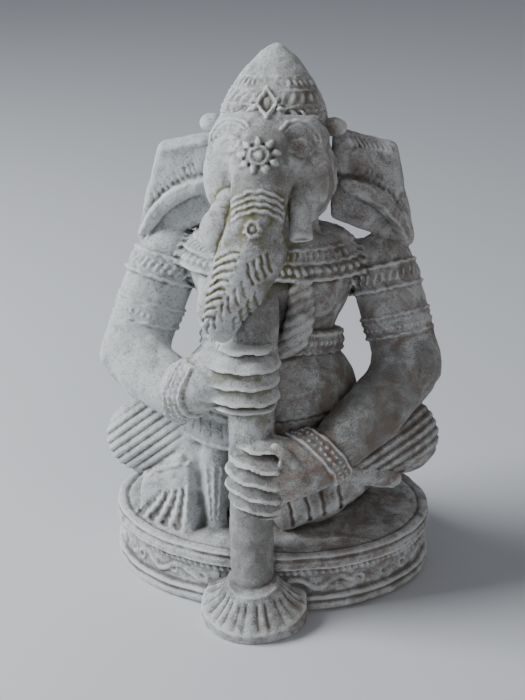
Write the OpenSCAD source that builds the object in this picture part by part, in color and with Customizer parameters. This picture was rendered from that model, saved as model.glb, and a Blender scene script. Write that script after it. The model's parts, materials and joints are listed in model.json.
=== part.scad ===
// Carved stone ganesha playing a long horn, seated cross-legged on an oval plinth.
// Millimetres, +Z up. The figure faces -Y, so its right side lies at -X.
// The origin is the middle of the plinth's flat underside.
// Every node is one carved element of the block. The elements are tiled face to face:
// each one gives way to the elements that stand before it in NODES.

/* [Plinth] */
// width of the oval plinth, side to side
plinth_w = 82; // [70:0.5:95]
// depth of the oval plinth, front to back
plinth_d = 67; // [55:0.5:80]
// height of the plinth's top, where the figure sits
plinth_h = 16; // [12:0.5:20]
// how far the frieze stands out of its recess
frieze_t = 0.9; // [0.4:0.1:1.5]

/* [Horn] */
// diameter of the tube near the mouthpiece
tube_top_d = 11.6; // [9:0.1:13]
// diameter of the tube just above the bell
tube_low_d = 10.5; // [8:0.1:12]
// diameter of the bell's rim
bell_d = 25.4; // [20:0.2:30]
// number of flutes cut in the exposed half of the bell
flute_count = 11; // [7:2:15]

/* [Body] */
// width across the two knees
knee_span = 85; // [78:0.5:92]
// width across the two elbows
elbow_span = 84.6; // [78:0.5:92]
// width of the pot belly
belly_w = 44; // [38:0.5:50]
// width of the waist above the bead belt
waist_w = 31; // [27:0.5:36]
// width of the chest below the shoulders
chest_w = 42; // [36:0.5:48]
// thickness of one finger
finger_d = 3.5; // [3:0.1:4.2]

/* [Head] */
// height of the crown's tip above the table
total_h = 133; // [128:0.5:140]
// width of the head across the cheeks
head_w = 32.6; // [29:0.2:36]
// width across the lower corners of the ears
ear_span = 69; // [60:0.5:76]
// thickness of each ear plate
ear_t = 6; // [4:0.2:8]
// largest diameter of the trunk, at its bend
trunk_d = 15.4; // [13:0.2:17]

/* [Hidden] */
stone = [0.74, 0.75, 0.75];
stone_lit = [0.82, 0.83, 0.83];
stone_worn = [0.60, 0.60, 0.59];
pa = plinth_w / 2;
pb = plinth_d / 2;
horn_top = [-1.2, -20.5, 75];
horn_mid = [-1.0, -28, 47];
horn_low = [0.2, -34, 10.4];
elbow_x = elbow_span / 2 - 8;
knee_x = knee_span / 2 - 9.6;
head_c = [0, -3, 103];
crown_z = 117.4;
tube_r0 = tube_top_d / 2;
tube_r1 = tube_low_d / 2;
belly_c = [0, -6.5, 50];

// each element is trimmed by all the ones listed before it
NODES = [
    "horn_bell", "horn_tube", "horn_ring", "plinth", "plinth_frieze",
    "trunk", "crown_finial", "crown_dome", "crown_band", "head",
    "right_tusk", "left_tusk", "trunk_rings", "trunk_flower", "forehead_flower",
    "forehead_jewel", "right_brow", "left_brow", "right_eye", "left_eye",
    "right_ear", "left_ear", "right_ear_knob", "left_ear_knob",
    "right_hand", "left_hand", "right_forearm", "left_forearm",
    "right_bracelet", "left_bracelet", "right_upper_arm", "left_upper_arm",
    "right_sleeve", "left_sleeve", "right_armlet", "left_armlet",
    "belly", "chest", "waist_belt", "collar", "chest_garland",
    "right_foot", "left_foot", "right_leg", "left_leg", "right_cuff", "left_cuff",
    "skirt", "sash_end", "hips"];

// ---- small building blocks ----

// blends two values or points
function mix(a, b, t) = a + (b - a) * t;
// a point on a slanted circle about c with the two half axes u and v
function hoop_pt(c, u, v, a) = c + u * cos(a) + v * sin(a);
// where the tube's axis is at height z, and its radius there
function horn_axis(z) = z > horn_mid[2]
    ? mix(horn_mid, horn_top, (z - horn_mid[2]) / (horn_top[2] - horn_mid[2]))
    : mix(horn_low, horn_mid, (z - horn_low[2]) / (horn_mid[2] - horn_low[2]));
function horn_r(z) = mix(tube_r1, tube_r0, (z - horn_low[2]) / (horn_top[2] - horn_low[2]));

module orb(p, r, n = 12) translate(p) sphere(r = r, $fn = n);
module egg(c, s, n = 16) translate(c) scale(s) sphere(r = 1, $fn = n);
module bar(p, q, rp, rq, n = 12) hull() { orb(p, rp, n); orb(q, rq, n); }
// a limb through points [x, y, z, radius]
module limb(path, n = 10, grow = 0)
    for (i = [0 : len(path) - 2])
        bar([for (k = [0 : 2]) path[i][k]], [for (k = [0 : 2]) path[i + 1][k]],
            path[i][3] + grow, path[i + 1][3] + grow, n);
// a rounded ridge along part of a slanted circle
module hoop(c, u, v, r, a0, a1, steps, n = 4)
    for (i = [0 : steps - 1])
        bar(hoop_pt(c, u, v, mix(a0, a1, i / steps)),
            hoop_pt(c, u, v, mix(a0, a1, (i + 1) / steps)), r, r, n);
// a row of beads along part of a slanted circle
module beads(c, u, v, r, a0, a1, count, n = 6)
    for (i = [0 : count - 1]) orb(hoop_pt(c, u, v, mix(a0, a1, i / (count - 1))), r, n);
// a body of oval levels [z, half width, half depth, y of centre]
module oval(l, n = 24) translate([0, l[3], l[0]]) linear_extrude(0.02)
    scale([l[1], l[2]]) circle(r = 1, $fn = n);
module levels(list, n = 24)
    for (i = [0 : len(list) - 2]) hull() { oval(list[i], n); oval(list[i + 1], n); }
// the space between two heights, as a slab tilted about the X axis
module between(z0, z1, tilt = 0, y = 0)
    translate([0, y, (z0 + z1) / 2]) rotate([tilt, 0, 0]) cube([120, 120, z1 - z0], center = true);

// ---- horn ----

module flare_disc(y, z, r, tilt) translate([0.8, y, z]) rotate([tilt, 0, 0])
    cylinder(h = 0.05, r = r, $fn = 32);

module horn_bell_form() {
    r = bell_d / 2;
    difference() {
        union() {
            hull() { flare_disc(-35.3, 4.8, r, 14); flare_disc(-35.3, 0, r, 0); }
            hull() { flare_disc(-35.3, 4.8, r, 14); flare_disc(-34.7, 7.2, r * 0.7, 12); }
            hull() { flare_disc(-34.7, 7.2, r * 0.7, 12); flare_disc(-34.1, 10, 5.9, 8); }
        }
        // flutes run from the ring out to the rim
        for (i = [0 : flute_count - 1]) {
            a = 180 + (i + 0.5) * 180 / flute_count;
            translate([0.8, -35.3, 4.8]) rotate([14, 0, 0]) rotate([0, 0, a])
                bar([6.6, 0, 4.3], [r - 0.6, 0, 0.35], 0.35, 0.9, 4);
        }
        between(-20, 0);
    }
}
module horn_ring_form() {
    translate(horn_low - [0, 0, 0.6]) rotate([9, 0, 0]) hull() {
        translate([0, 0, -1.3]) cylinder(h = 2.6, r = tube_r1 + 0.5, $fn = 24);
        translate([0, 0, -0.6]) cylinder(h = 1.2, r = tube_r1 + 1.2, $fn = 24);
    }
}
module horn_tube_form() {
    hull() { orb(horn_top, tube_r0, 20); orb(horn_mid, horn_r(horn_mid[2]), 20); }
    hull() { orb(horn_mid, horn_r(horn_mid[2]), 20); orb(horn_low, tube_r1, 20); }
}

// ---- trunk, tusks ----

trunk_path = [
    [0, -9.5, 111, 9], [0.2, -15.5, 108.5, 8.2], [0.1, -21, 104, 7],
    [0.3, -25, 99, 6.5], [-0.7, -27.3, 94, 6.8], [-1.9, -28.4, 88.8, 7.5],
    [-3.1, -29, 84.6, trunk_d / 2 - 0.3], [-5.7, -29.6, 79.6, 5.7], [-7.1, -30, 74.6, 3.7],
    [-7, -30.3, 70.9, 1.9]];
module trunk_form() limb(trunk_path, 12);
module trunk_rings_form() {
    for (i = [0 : 2])
        hoop([0.2, -21.2 - i * 1.35, 104.4 - i * 1.5], [7 - i * 0.1, 0, 0],
            [0, -4.6, 5.4], 0.9, 10, 170, 4);
    // a thin saddle under the three rings ties them together
    for (a = [40, 140]) bar(hoop_pt([0.2, -20.8, 104.8], [7, 0, 0], [0, -4.6, 5.4], a),
        hoop_pt([0.2, -24.4, 101], [6.8, 0, 0], [0, -4.6, 5.4], a), 0.75, 0.75, 4);
}
module trunk_flower_form() {
    c = [0.2, -31.9, 98.4];
    orb(c, 1.6, 8);
    beads(c, [1.9, 0, 0], [0, -0.8, 1.75], 1, 0, 300, 6);
}
module right_tusk_form() bar([-8.2, -12, 100.5], [-9.9, -22.6, 95.2], 4, 4.9, 16);
module left_tusk_form() hull() {
    translate([8.2, -19.6, 103.4]) rotate([40, 0, 0]) cylinder(h = 0.1, r = 2.3, $fn = 16);
    translate([10.5, -24.6, 93.8]) rotate([16, 8, 0]) cylinder(h = 0.1, r = 3, $fn = 16);
}

// ---- arms and hands; s is -1 for the figure's right side and 1 for its left ----

function arm_path(s) = [
    [s * 26.5, 2.5, 79.5, 8.6], [s * 30, -1, 70.5, 8.9],
    [s * (elbow_x - 0.9), -5, 60.5, 8.5], [s * elbow_x, -7.5, 56.5, 8]];
function wrist(s) = s < 0 ? [-19, -22.5, 53] : [19, -23.2, 41.8];
function forearm_path(s) = [
    [s * elbow_x, -7.5, 56, 8], [s * 27.5, -15.5, mix(56, wrist(s)[2], 0.5), 7.9],
    concat(wrist(s), [7])];
module arm_band(s, z0, z1, grow, tilt = 8) intersection() {
    limb(arm_path(s), 12, grow);
    between(z0, z1, tilt);
}
module upper_arm_form(s) limb(arm_path(s), 10);
module forearm_form(s) limb(forearm_path(s), 10);
module sleeve_form(s) {
    arm_band(s, 74.6, 80.2, 0.9);
    beads([s * 28, 0.2, 77.4], [s * 9.6, 0, 0], [0, -9.2, -1.3], 1.2, 10, 115, 4);
}
module armlet_form(s) {
    arm_band(s, 64.4, 69.2, 0.8);
    beads([s * 31, -2, 66.8], [s * 9.5, 0, 0], [0, -9.2, -1.2], 1.1, 10, 110, 4);
}
// bracelet: a ridge and a row of beads round the wrist
module bracelet_form(s) {
    w = wrist(s);
    f = [s * 27.5, -15.5, mix(56, w[2], 0.5)];
    d = (w - f) / norm(w - f);
    u = cross(d, [0, 0, 1]) / norm(cross(d, [0, 0, 1]));
    v = cross(u, d);
    c = w + d * 0.6;
    // a plain cuff carries both; the arm fills it
    intersection() {
        limb(concat(forearm_path(s), [concat(w + d * 5, [6.6])]), 12, 0.45);
        multmatrix([[u[0], v[0], d[0], c[0]], [u[1], v[1], d[1], c[1]],
            [u[2], v[2], d[2], c[2]], [0, 0, 0, 1]])
            translate([0, 0, -0.6]) cube([30, 30, 4.2], center = true);
    }
    hoop(c - d * 2, u * 7.2, v * 7.2, 0.9, s < 0 ? 160 : 50, s < 0 ? 380 : 270, 6);
    beads(c + d * 0.3, u * 6.9, v * 6.9, 1.3, s < 0 ? 180 : 70, s < 0 ? 360 : 250, 6);
}
module finger(z, a0, a1, drop, aside = 0) {
    c = horn_axis(z) - [aside, 0, 0];
    r = horn_r(z) + finger_d * 0.3;
    for (i = [0 : 3])
        bar(hoop_pt(c - [0, 0, drop * i / 4], [r + 0.6, 0, 0], [0, r, 0], mix(a0, a1, i / 4)),
            hoop_pt(c - [0, 0, drop * (i + 1) / 4], [r + 0.6, 0, 0], [0, r, 0],
                mix(a0, a1, (i + 1) / 4)), finger_d / 2, finger_d / 2, 5);
}
module right_hand_form() {
    limb([[-16, -24.5, 54.5, 6.6], [-11.5, -26, 57.2, 6.4], [-8, -26.5, 58.4, 6]], 10);
    for (i = [0 : 3]) finger(63.8 - i * 3.3, 178, 342, 0.6, 1.8);
}
module left_hand_form() {
    limb([[16, -25.5, 39.8, 6.6], [11, -28.5, 37.2, 6.5], [7.5, -29.5, 36.2, 6.2]], 10);
    for (i = [0 : 3]) finger(41.6 - i * 3.4, 5, -158, 0.6, 0.2);
    // thumb, laid over the upper finger
    limb([[13, -30, 42, 2.6], [9, -34, 41.4, 2.3], [6, -36.2, 39.4, 1.9]], 6);
}

// ---- head, ears, crown ----

module forehead_flower_form() {
    c = [0.2, -22.1, 110.8];
    orb(c, 2.2, 8);
    beads(c, [3.1, 0, 0], [0, -1.9, 2.5], 1.45, 0, 315, 8);
}
module forehead_jewel_form() {
    c = [0, -10.9, 121.2];
    hull() for (p = [[2, 0, 0], [-2, 0, 0], [0, 1.9, 3.4], [0, -2.2, -3], [0, -1.4, 0.4], [0, 2, 0]])
        orb(c + p, 0.3, 5);
}
module brow_form(s) {
    for (k = [0 : 1]) limb([[s * 3.6, -17 + k * 0.8, 116.2 + k * 1.5, 0.8],
        [s * 6.6, -15.6 + k * 0.8, 118 + k * 1.5, 0.9],
        [s * 9.8, -13.4 + k * 0.8, 117.4 + k * 1.5, 0.9],
        [s * (12 + k * 0.3), -10.4 + k * 0.6, 114.8 + k * 1.5, 0.8]], 4);
    bar([s * 6.6, -15.4, 118], [s * 6.6, -14.6, 119.4], 0.8, 0.8, 4);
}
module eye_form(s) {
    egg([s * 8.4, -15, 113.6], [2.4, 1.4, 1.5], 10);
    hoop([s * 8.4, -15, 113.6], [s * 2.7, 1, 0], [0, -0.3, 1.95], 0.75, 0, 360, 6);
}
module ear_knob_form(s) bar([s * 13, -0.6, 114], [s * 15.4, -1, 114.6], 2.2, 2, 10);
// crown levels [z, half width, half depth, y of centre]
crown = [
    [112.5, 13.4, 12, -0.6], [crown_z - 1, 13.1, 12.1, 0], [crown_z + 2, 11.8, 11.3, 0.8],
    [crown_z + 5.6, 9.9, 9.7, 2], [crown_z + 8.6, 8.1, 7.9, 3], [total_h - 4, 5.7, 5.6, 4],
    [total_h - 1.6, 3, 3, 4.7], [total_h - 0.02, 1, 1, 5]];
module crown_slice(i0, i1) levels([for (i = [i0 : i1]) crown[i]], 22);
module crown_finial_form() crown_slice(4, 7);
module crown_dome_form() {
    crown_slice(2, 4);
    beads([0, 2.8, crown_z + 7.4], [8.7, 0, 0], [0, 8.5, 0], 1.15, 190, 350, 8);
    beads([0, 1.5, crown_z + 3.8], [10.8, 0, 0], [0, 10.4, 0], 1.25, 190, 350, 9);
}
module crown_band_form() {
    crown_slice(0, 2);
    hoop([0, 0.5, crown_z + 1.6], [12.2, 0, 0], [0, 11.6, 0], 0.8, 170, 370, 10);
}
module head_form() {
    egg(head_c, [head_w / 2, 13.2, 15.6]);
    egg([0, -5.4, 111.5], [14.4, 11.9, 10.6]);
    limb([[0, -2, 94, 11.5], [0, -1, 86, 12]], 10);
}
module ear_form(s) {
    inner = 15;
    up = s < 0 ? 0 : 1.8;
    hull() for (y = [3 - ear_t / 2 + 1.5, 3 + ear_t / 2 - 1.5]) {
        orb([s * inner, y + 1, 109.4 + up], 1.5, 8);
        orb([s * 28, y + 1.6, 106.6 + up], 1.5, 8);
        orb([s * (ear_span / 2 - 1.5), y, 84.6 + up], 1.5, 8);
        orb([s * inner, y, 90.5 + up], 1.5, 8);
    }
    // the fold low on the ear and the thickened upper edge
    limb([[s * 17.5, 0, 98 + up, 1.4], [s * 23, -0.6, 96.6 + up, 1.6],
        [s * 28.4, -0.4, 92.6 + up, 1.5], [s * 31.8, 0, 86.6 + up, 1.2]], 6);
    limb([[s * 17, 0.8, 109 + up, 1], [s * 27.8, 1.3, 106.4 + up, 1]], 6);
}

// ---- torso ----

module collar_form() {
    levels([[79.6, 23.6, 15.4, -0.6], [81, 24.4, 15.6, -0.6], [84.5, 21.5, 13.8, -0.2],
        [88.4, 17.6, 11.6, 0.4]], 20);
    beads([0, -0.5, 82.8], [23.2, 0, 0], [0, -15, 0], 1.5, 28, 152, 8);
}
module chest_garland_form() for (s = [-1, 1])
    limb([[s * 8.8, -13.4, 79.6, 2.8], [s * 8.8, -14.2, 74, 3.4], [s * 8.2, -15.2, 68.6, 3.6],
        [s * 6.2, -16.4, 64.2, 3], [0, -17.6, 62.6, 2]], 6);
module waist_belt_form() translate([0, -1.6, 61]) rotate([-13, 0, 0]) {
    hull() for (e = [[-2.2, 16.6], [-1.4, 17.1], [1.4, 17.1], [2.2, 16.6]])
        translate([0, 0, e[0]]) scale([1, 0.87, 1]) cylinder(h = 0.01, r = e[1], $fn = 24);
    beads([0, 0, 0], [16.9, 0, 0], [0, 14.7, 0], 1.45, 200, 340, 9);
}
module chest_form() levels([[57, 15.6, 12.6, -1.4], [waist_w * 2.1, waist_w / 2, 12.4, -1],
    [72, 19, 13.2, -0.6], [79, chest_w / 2 + 0.6, 13.8, -0.4], [85, 20, 12, 0.2], [89, 15, 10, 0.6]],
    18);
module skirt_form() {
    c = [0, -5.2, 0];
    levels([[37.6, 23.4, 18.6, -5.2], [39, 23.8, 19, -5.2], [40.6, 22.6, 17.8, -5.2],
        [48.6, 21.6, 16.6, -5.2]], 18);
    for (i = [0 : 8]) {
        a = 206 + i * 16;
        bar(hoop_pt(c + [0, 0, 48], [21.4, 0, 0], [0, 16.6, 0], a),
            hoop_pt(c + [0, 0, 40], [22.8, 0, 0], [0, 18, 0], a), 0.8, 0.9, 4);
    }
}
module belly_form() {
    egg(belly_c, [belly_w / 2, 17.4, 14.6], 22);
    hoop([0, -6, 49.8], [21.8, 0, 0], [0, -17.4, 1.5], 0.8, 20, 160, 8);
}

// ---- legs and feet ----

function knee(s) = s < 0 ? [-knee_x, -4, 32.6] : [knee_x, -3, 37];
function leg_path(s) = [
    [s * 12, 4, 34, 12], [knee(s)[0], knee(s)[1], knee(s)[2], 9.6],
    s < 0 ? [-16, -12.5, 38, 8.6] : [17, -12, 37.5, 8.6]];
// pleats lie in planes with this normal; u points out of the knee and v along the shin
pleat_n = [-0.61, 0.2, 0.767];
pleat_u = cross([0.79, 0.18, 0.585], pleat_n);
module leg_form(s) {
    limb(leg_path(s), 12);
    for (i = [-2 : 2]) {
        r = sqrt(9.6 * 9.6 - pow(i * 2.9, 2)) - 0.25;
        hoop(knee(s) + pleat_n * i * 2.9, pleat_u * r / norm(pleat_u),
            [0.79, 0.18, 0.585] * r, 0.9, s < 0 ? -70 : -40, s < 0 ? 40 : 70, 4);
    }
}
module cuff_form(s) {
    p = s < 0 ? [-29.5, -11, 25.4] : [31, -10.4, 28.6];
    q = s < 0 ? [-19, -17.6, 31.5] : [21, -16.8, 30];
    bar(p, q, 2.6, 2.8, 10);
    for (i = [0 : 4]) orb(mix(p, q, i / 4) + [0, -2.1, 0.3], 1.45, 6);
}
module toes(tips, root, r) for (t = tips) bar(root + (t - root) * 0.42 + [0, 0, 1.6], t, r * 1.35, r, 6);
module right_foot_form() {
    root = [-18.5, -12, 27];
    limb([[-16.6, -15, 32.5, 5.6], [-19, -14.4, 25, 6.8], [-20.5, -14, 19.5, 7.2]], 12);
    toes([for (i = [0 : 4]) [mix(-30.6, -16.8, i / 4), mix(-13.2, -22, i / 4) - 1.6 * sin(i * 45),
        plinth_h + 1.6]], root, 2.05);
}
module left_foot_form() {
    root = [15, -11, 27];
    limb([[17.5, -14, 31.5, 5.4], [15.6, -13.6, 25, 6.4], [13.5, -13, 20.5, 7]], 12);
    toes([for (i = [0 : 4]) [mix(5.6, 24.4, i / 4), mix(-22, -15.4, i / 4) - 1.4 * sin(i * 45),
        plinth_h + mix(1.6, 8, i / 4)]], root, 2.05);
}
// the loose end of the waistcloth, hanging beside the foot
module sash_end_form()
    limb([[-11.6, -19.8, 36, 2], [-11.2, -22.4, 29, 1.9], [-10.6, -24.2, 21, 1.5]], 8);
module hips_form() intersection() {
    union() {
        egg([0, 1.5, 28], [28, 21, 17], 14);
        limb([[-16, 8, 26, 12], [16, 8, 26, 12]], 8);
    }
    between(plinth_h, 60);
}

// ---- plinth ----

module ring_level(z0, z1, in0, in1) translate([0, 0, z0])
    linear_extrude(height = z1 - z0, scale = [(pa - in1) / (pa - in0), (pb - in1) / (pb - in0)])
        scale([pa - in0, pb - in0]) circle(r = 1, $fn = 36);
module plinth_form() {
    h = plinth_h;
    ring_level(0, 2.4, 1.2, 0);
    ring_level(2.4, 3.2, 1, 1);
    ring_level(3.2, 4.2, 0.2, 0.2);
    ring_level(4.2, h - 4.2, 1.9, 1.9);
    ring_level(h - 4.2, h - 1.6, 0, 0.3);
    ring_level(h - 1.6, h - 1, 1.3, 1.3);
    ring_level(h - 1, h, 1, 2.2);
}
module plinth_frieze_form() {
    z0 = 4.2;
    z1 = plinth_h - 4.2;
    difference() {
        ring_level(z0, z1, 1.9 - frieze_t, 1.9 - frieze_t);
        ring_level(z0 - 1, z1 + 1, 1.9, 1.9);
    }
    // a row of leaning strokes between two plain borders
    for (i = [0 : 15]) {
        a = 182 + i * 11.7;
        lean = i % 2 == 0 ? 4 : -4;
        bar([(pa - 0.9) * cos(a), (pb - 0.9) * sin(a), z0 + 1],
            [(pa - 0.9) * cos(a + lean), (pb - 0.9) * sin(a + lean), z1 - 1], 0.5, 0.5, 4);
    }
}

// ---- every element by name ----

module form(n) {
    s = n[0] == "r" ? -1 : 1;
    if (n == "horn_bell") horn_bell_form();
    else if (n == "horn_ring") horn_ring_form();
    else if (n == "horn_tube") horn_tube_form();
    else if (n == "trunk") trunk_form();
    else if (n == "trunk_rings") trunk_rings_form();
    else if (n == "trunk_flower") trunk_flower_form();
    else if (n == "right_tusk") right_tusk_form();
    else if (n == "left_tusk") left_tusk_form();
    else if (n == "right_hand") right_hand_form();
    else if (n == "left_hand") left_hand_form();
    else if (n == "right_bracelet" || n == "left_bracelet") bracelet_form(s);
    else if (n == "right_armlet" || n == "left_armlet") armlet_form(s);
    else if (n == "right_sleeve" || n == "left_sleeve") sleeve_form(s);
    else if (n == "right_forearm" || n == "left_forearm") forearm_form(s);
    else if (n == "right_upper_arm" || n == "left_upper_arm") upper_arm_form(s);
    else if (n == "forehead_flower") forehead_flower_form();
    else if (n == "forehead_jewel") forehead_jewel_form();
    else if (n == "right_brow" || n == "left_brow") brow_form(s);
    else if (n == "right_eye" || n == "left_eye") eye_form(s);
    else if (n == "right_ear_knob" || n == "left_ear_knob") ear_knob_form(s);
    else if (n == "crown_finial") crown_finial_form();
    else if (n == "crown_dome") crown_dome_form();
    else if (n == "crown_band") crown_band_form();
    else if (n == "head") head_form();
    else if (n == "right_ear" || n == "left_ear") ear_form(s);
    else if (n == "collar") collar_form();
    else if (n == "chest_garland") chest_garland_form();
    else if (n == "waist_belt") waist_belt_form();
    else if (n == "chest") chest_form();
    else if (n == "skirt") skirt_form();
    else if (n == "sash_end") sash_end_form();
    else if (n == "belly") belly_form();
    else if (n == "right_foot") right_foot_form();
    else if (n == "left_foot") left_foot_form();
    else if (n == "right_cuff" || n == "left_cuff") cuff_form(s);
    else if (n == "right_leg" || n == "left_leg") leg_form(s);
    else if (n == "plinth_frieze") plinth_frieze_form();
    else if (n == "plinth") plinth_form();
    else if (n == "hips") hips_form();
}
function rank(n) = search([n], NODES)[0];
// an element with every element before it cut away
module trimmed(n) difference() {
    form(n);
    for (k = [0 : 1 : rank(n) - 1]) form(NODES[k]);
}

// ---- nodes ----

module horn_bell() color(stone_worn) trimmed("horn_bell");
module horn_tube() color(stone_worn) trimmed("horn_tube");
module horn_ring() color(stone) trimmed("horn_ring");
module plinth() color(stone) trimmed("plinth");
module plinth_frieze() color(stone) trimmed("plinth_frieze");
module trunk() color(stone_worn) trimmed("trunk");
module crown_finial() color(stone) trimmed("crown_finial");
module crown_dome() color(stone_lit) trimmed("crown_dome");
module crown_band() color(stone) trimmed("crown_band");
module head() color(stone_lit) trimmed("head");
module right_tusk() color(stone) trimmed("right_tusk");
module left_tusk() color(stone) trimmed("left_tusk");
module trunk_rings() color(stone) trimmed("trunk_rings");
module trunk_flower() color(stone) trimmed("trunk_flower");
module forehead_flower() color(stone) trimmed("forehead_flower");
module forehead_jewel() color(stone) trimmed("forehead_jewel");
module right_brow() color(stone) trimmed("right_brow");
module left_brow() color(stone) trimmed("left_brow");
module right_eye() color(stone) trimmed("right_eye");
module left_eye() color(stone) trimmed("left_eye");
module right_ear() color(stone) trimmed("right_ear");
module left_ear() color(stone) trimmed("left_ear");
module right_ear_knob() color(stone) trimmed("right_ear_knob");
module left_ear_knob() color(stone) trimmed("left_ear_knob");
module right_hand() color(stone_lit) trimmed("right_hand");
module left_hand() color(stone_worn) trimmed("left_hand");
module right_forearm() color(stone_lit) trimmed("right_forearm");
module left_forearm() color(stone_worn) trimmed("left_forearm");
module right_bracelet() color(stone) trimmed("right_bracelet");
module left_bracelet() color(stone) trimmed("left_bracelet");
module right_upper_arm() color(stone_lit) trimmed("right_upper_arm");
module left_upper_arm() color(stone) trimmed("left_upper_arm");
module right_sleeve() color(stone) trimmed("right_sleeve");
module left_sleeve() color(stone) trimmed("left_sleeve");
module right_armlet() color(stone) trimmed("right_armlet");
module left_armlet() color(stone) trimmed("left_armlet");
module belly() color(stone_lit) trimmed("belly");
module chest() color(stone) trimmed("chest");
module waist_belt() color(stone) trimmed("waist_belt");
module collar() color(stone) trimmed("collar");
module chest_garland() color(stone) trimmed("chest_garland");
module right_foot() color(stone_lit) trimmed("right_foot");
module left_foot() color(stone) trimmed("left_foot");
module right_leg() color(stone_lit) trimmed("right_leg");
module left_leg() color(stone) trimmed("left_leg");
module right_cuff() color(stone) trimmed("right_cuff");
module left_cuff() color(stone) trimmed("left_cuff");
module skirt() color(stone) trimmed("skirt");
module sash_end() color(stone) trimmed("sash_end");
module hips() color(stone) trimmed("hips");

horn_bell();
horn_tube();
horn_ring();
plinth();
plinth_frieze();
trunk();
crown_finial();
crown_dome();
crown_band();
head();
right_tusk();
left_tusk();
trunk_rings();
trunk_flower();
forehead_flower();
forehead_jewel();
right_brow();
left_brow();
right_eye();
left_eye();
right_ear();
left_ear();
right_ear_knob();
left_ear_knob();
right_hand();
left_hand();
right_forearm();
left_forearm();
right_bracelet();
left_bracelet();
right_upper_arm();
left_upper_arm();
right_sleeve();
left_sleeve();
right_armlet();
left_armlet();
belly();
chest();
waist_belt();
collar();
chest_garland();
right_foot();
left_foot();
right_leg();
left_leg();
right_cuff();
left_cuff();
skirt();
sash_end();
hips();
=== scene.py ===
"""Looks of the carved stone ganesha with a long horn.

Every carved element of the frame gets one closed piece. The work is done in a volume of
distances to the surface, in millimetres: the elements' own solids and a few shapes placed
in their boxes are blended into one stone, ornament is raised and cut on its surface, the
whole is roughened, and each element's share of it becomes a mesh.
"""

import json
import math

import bpy
import numpy as np
import openvdb
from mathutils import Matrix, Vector


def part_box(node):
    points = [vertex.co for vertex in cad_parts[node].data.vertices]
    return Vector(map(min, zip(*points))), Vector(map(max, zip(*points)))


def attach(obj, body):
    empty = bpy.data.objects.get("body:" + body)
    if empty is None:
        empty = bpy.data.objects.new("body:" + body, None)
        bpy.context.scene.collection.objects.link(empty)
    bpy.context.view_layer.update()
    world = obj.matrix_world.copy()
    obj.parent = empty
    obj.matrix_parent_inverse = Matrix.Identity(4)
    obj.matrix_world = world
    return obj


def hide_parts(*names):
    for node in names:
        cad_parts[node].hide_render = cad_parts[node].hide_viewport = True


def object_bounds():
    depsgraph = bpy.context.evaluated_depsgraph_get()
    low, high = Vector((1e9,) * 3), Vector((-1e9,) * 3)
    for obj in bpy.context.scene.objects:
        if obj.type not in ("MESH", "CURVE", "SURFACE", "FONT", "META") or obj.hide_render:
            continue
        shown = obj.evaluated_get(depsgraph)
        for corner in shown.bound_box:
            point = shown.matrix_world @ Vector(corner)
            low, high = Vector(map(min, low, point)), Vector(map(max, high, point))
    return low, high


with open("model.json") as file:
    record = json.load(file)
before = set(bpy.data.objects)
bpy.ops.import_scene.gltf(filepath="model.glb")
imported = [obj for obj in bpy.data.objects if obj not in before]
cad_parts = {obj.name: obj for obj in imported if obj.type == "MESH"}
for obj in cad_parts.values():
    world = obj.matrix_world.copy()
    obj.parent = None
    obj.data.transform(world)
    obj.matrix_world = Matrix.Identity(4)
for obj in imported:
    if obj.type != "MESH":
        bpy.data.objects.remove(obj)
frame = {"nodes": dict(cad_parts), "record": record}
cad_lo, cad_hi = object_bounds()

# ---------------------------------------------------------------- volume

STEP = 0.31       # edge of one cell of the volume
REACH = 2.6                         # how far round a shape its distances are kept
FAR = 9.0
LOW = np.array(cad_lo) * 1000
HIGH = np.array(cad_hi) * 1000
START = LOW - 2.2
SIZE = np.ceil((HIGH + 2.2 - START) / STEP).astype(int)
AXES = [(START[i] + STEP * np.arange(SIZE[i])).astype(np.float32) for i in range(3)]
SIDES = ((-1, "right"), (1, "left"))


def box(node):
    """The corners of an element, in millimetres."""
    lo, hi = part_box(node)
    return np.array(lo) * 1000, np.array(hi) * 1000


def mid(node):
    lo, hi = box(node)
    return (lo + hi) / 2


def half(node):
    lo, hi = box(node)
    return (hi - lo) / 2


def spot(node, across, back, up):
    """A place in an element's box: 0 to 1 from its left, its front and its bottom."""
    lo, hi = box(node)
    return lo + (hi - lo) * (across, back, up)


def spots(node, *places):
    """Several places in one element's box."""
    return [spot(node, *place) for place in places]


def side_spot(side, part, out, back, up):
    """A place in a paired element's box, with out measured away from the middle of the body."""
    return spot(side + "_" + part, out if side == "left" else 1 - out, back, up)


def side_spots(side, part, *places):
    return [side_spot(side, part, *place) for place in places]


def unit(v):
    v = np.array(v, float)
    return v / np.linalg.norm(v)


def span(lo, hi):
    """The cells between two corners."""
    out = []
    for i in range(3):
        a = int(math.floor((lo[i] - START[i]) / STEP))
        b = int(math.ceil((hi[i] - START[i]) / STEP)) + 1
        out.append(slice(min(max(a, 0), SIZE[i] - 1), max(min(b, SIZE[i]), 1)))
    return tuple(out)


def overlap(s, t):
    return tuple(slice(max(a.start, b.start), min(a.stop, b.stop)) for a, b in zip(s, t))


def within(s, t):
    """Cells s counted from the start of cells t."""
    return tuple(slice(a.start - b.start, a.stop - b.start) for a, b in zip(s, t))


def coords(s):
    return (AXES[0][s[0]][:, None, None], AXES[1][s[1]][None, :, None], AXES[2][s[2]][None, None, :])


def blend_min(a, b, k):
    if k <= 0:
        return np.minimum(a, b)
    h = np.maximum(k - np.abs(a - b), 0)
    return np.minimum(a, b) - h * h * (0.25 / k)


def blend_max(a, b, k):
    return -blend_min(-a, -b, k)


def ramp(x, a, b):
    t = np.clip((x - a) / (b - a), 0, 1)
    return t * t * (3 - 2 * t)


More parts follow.
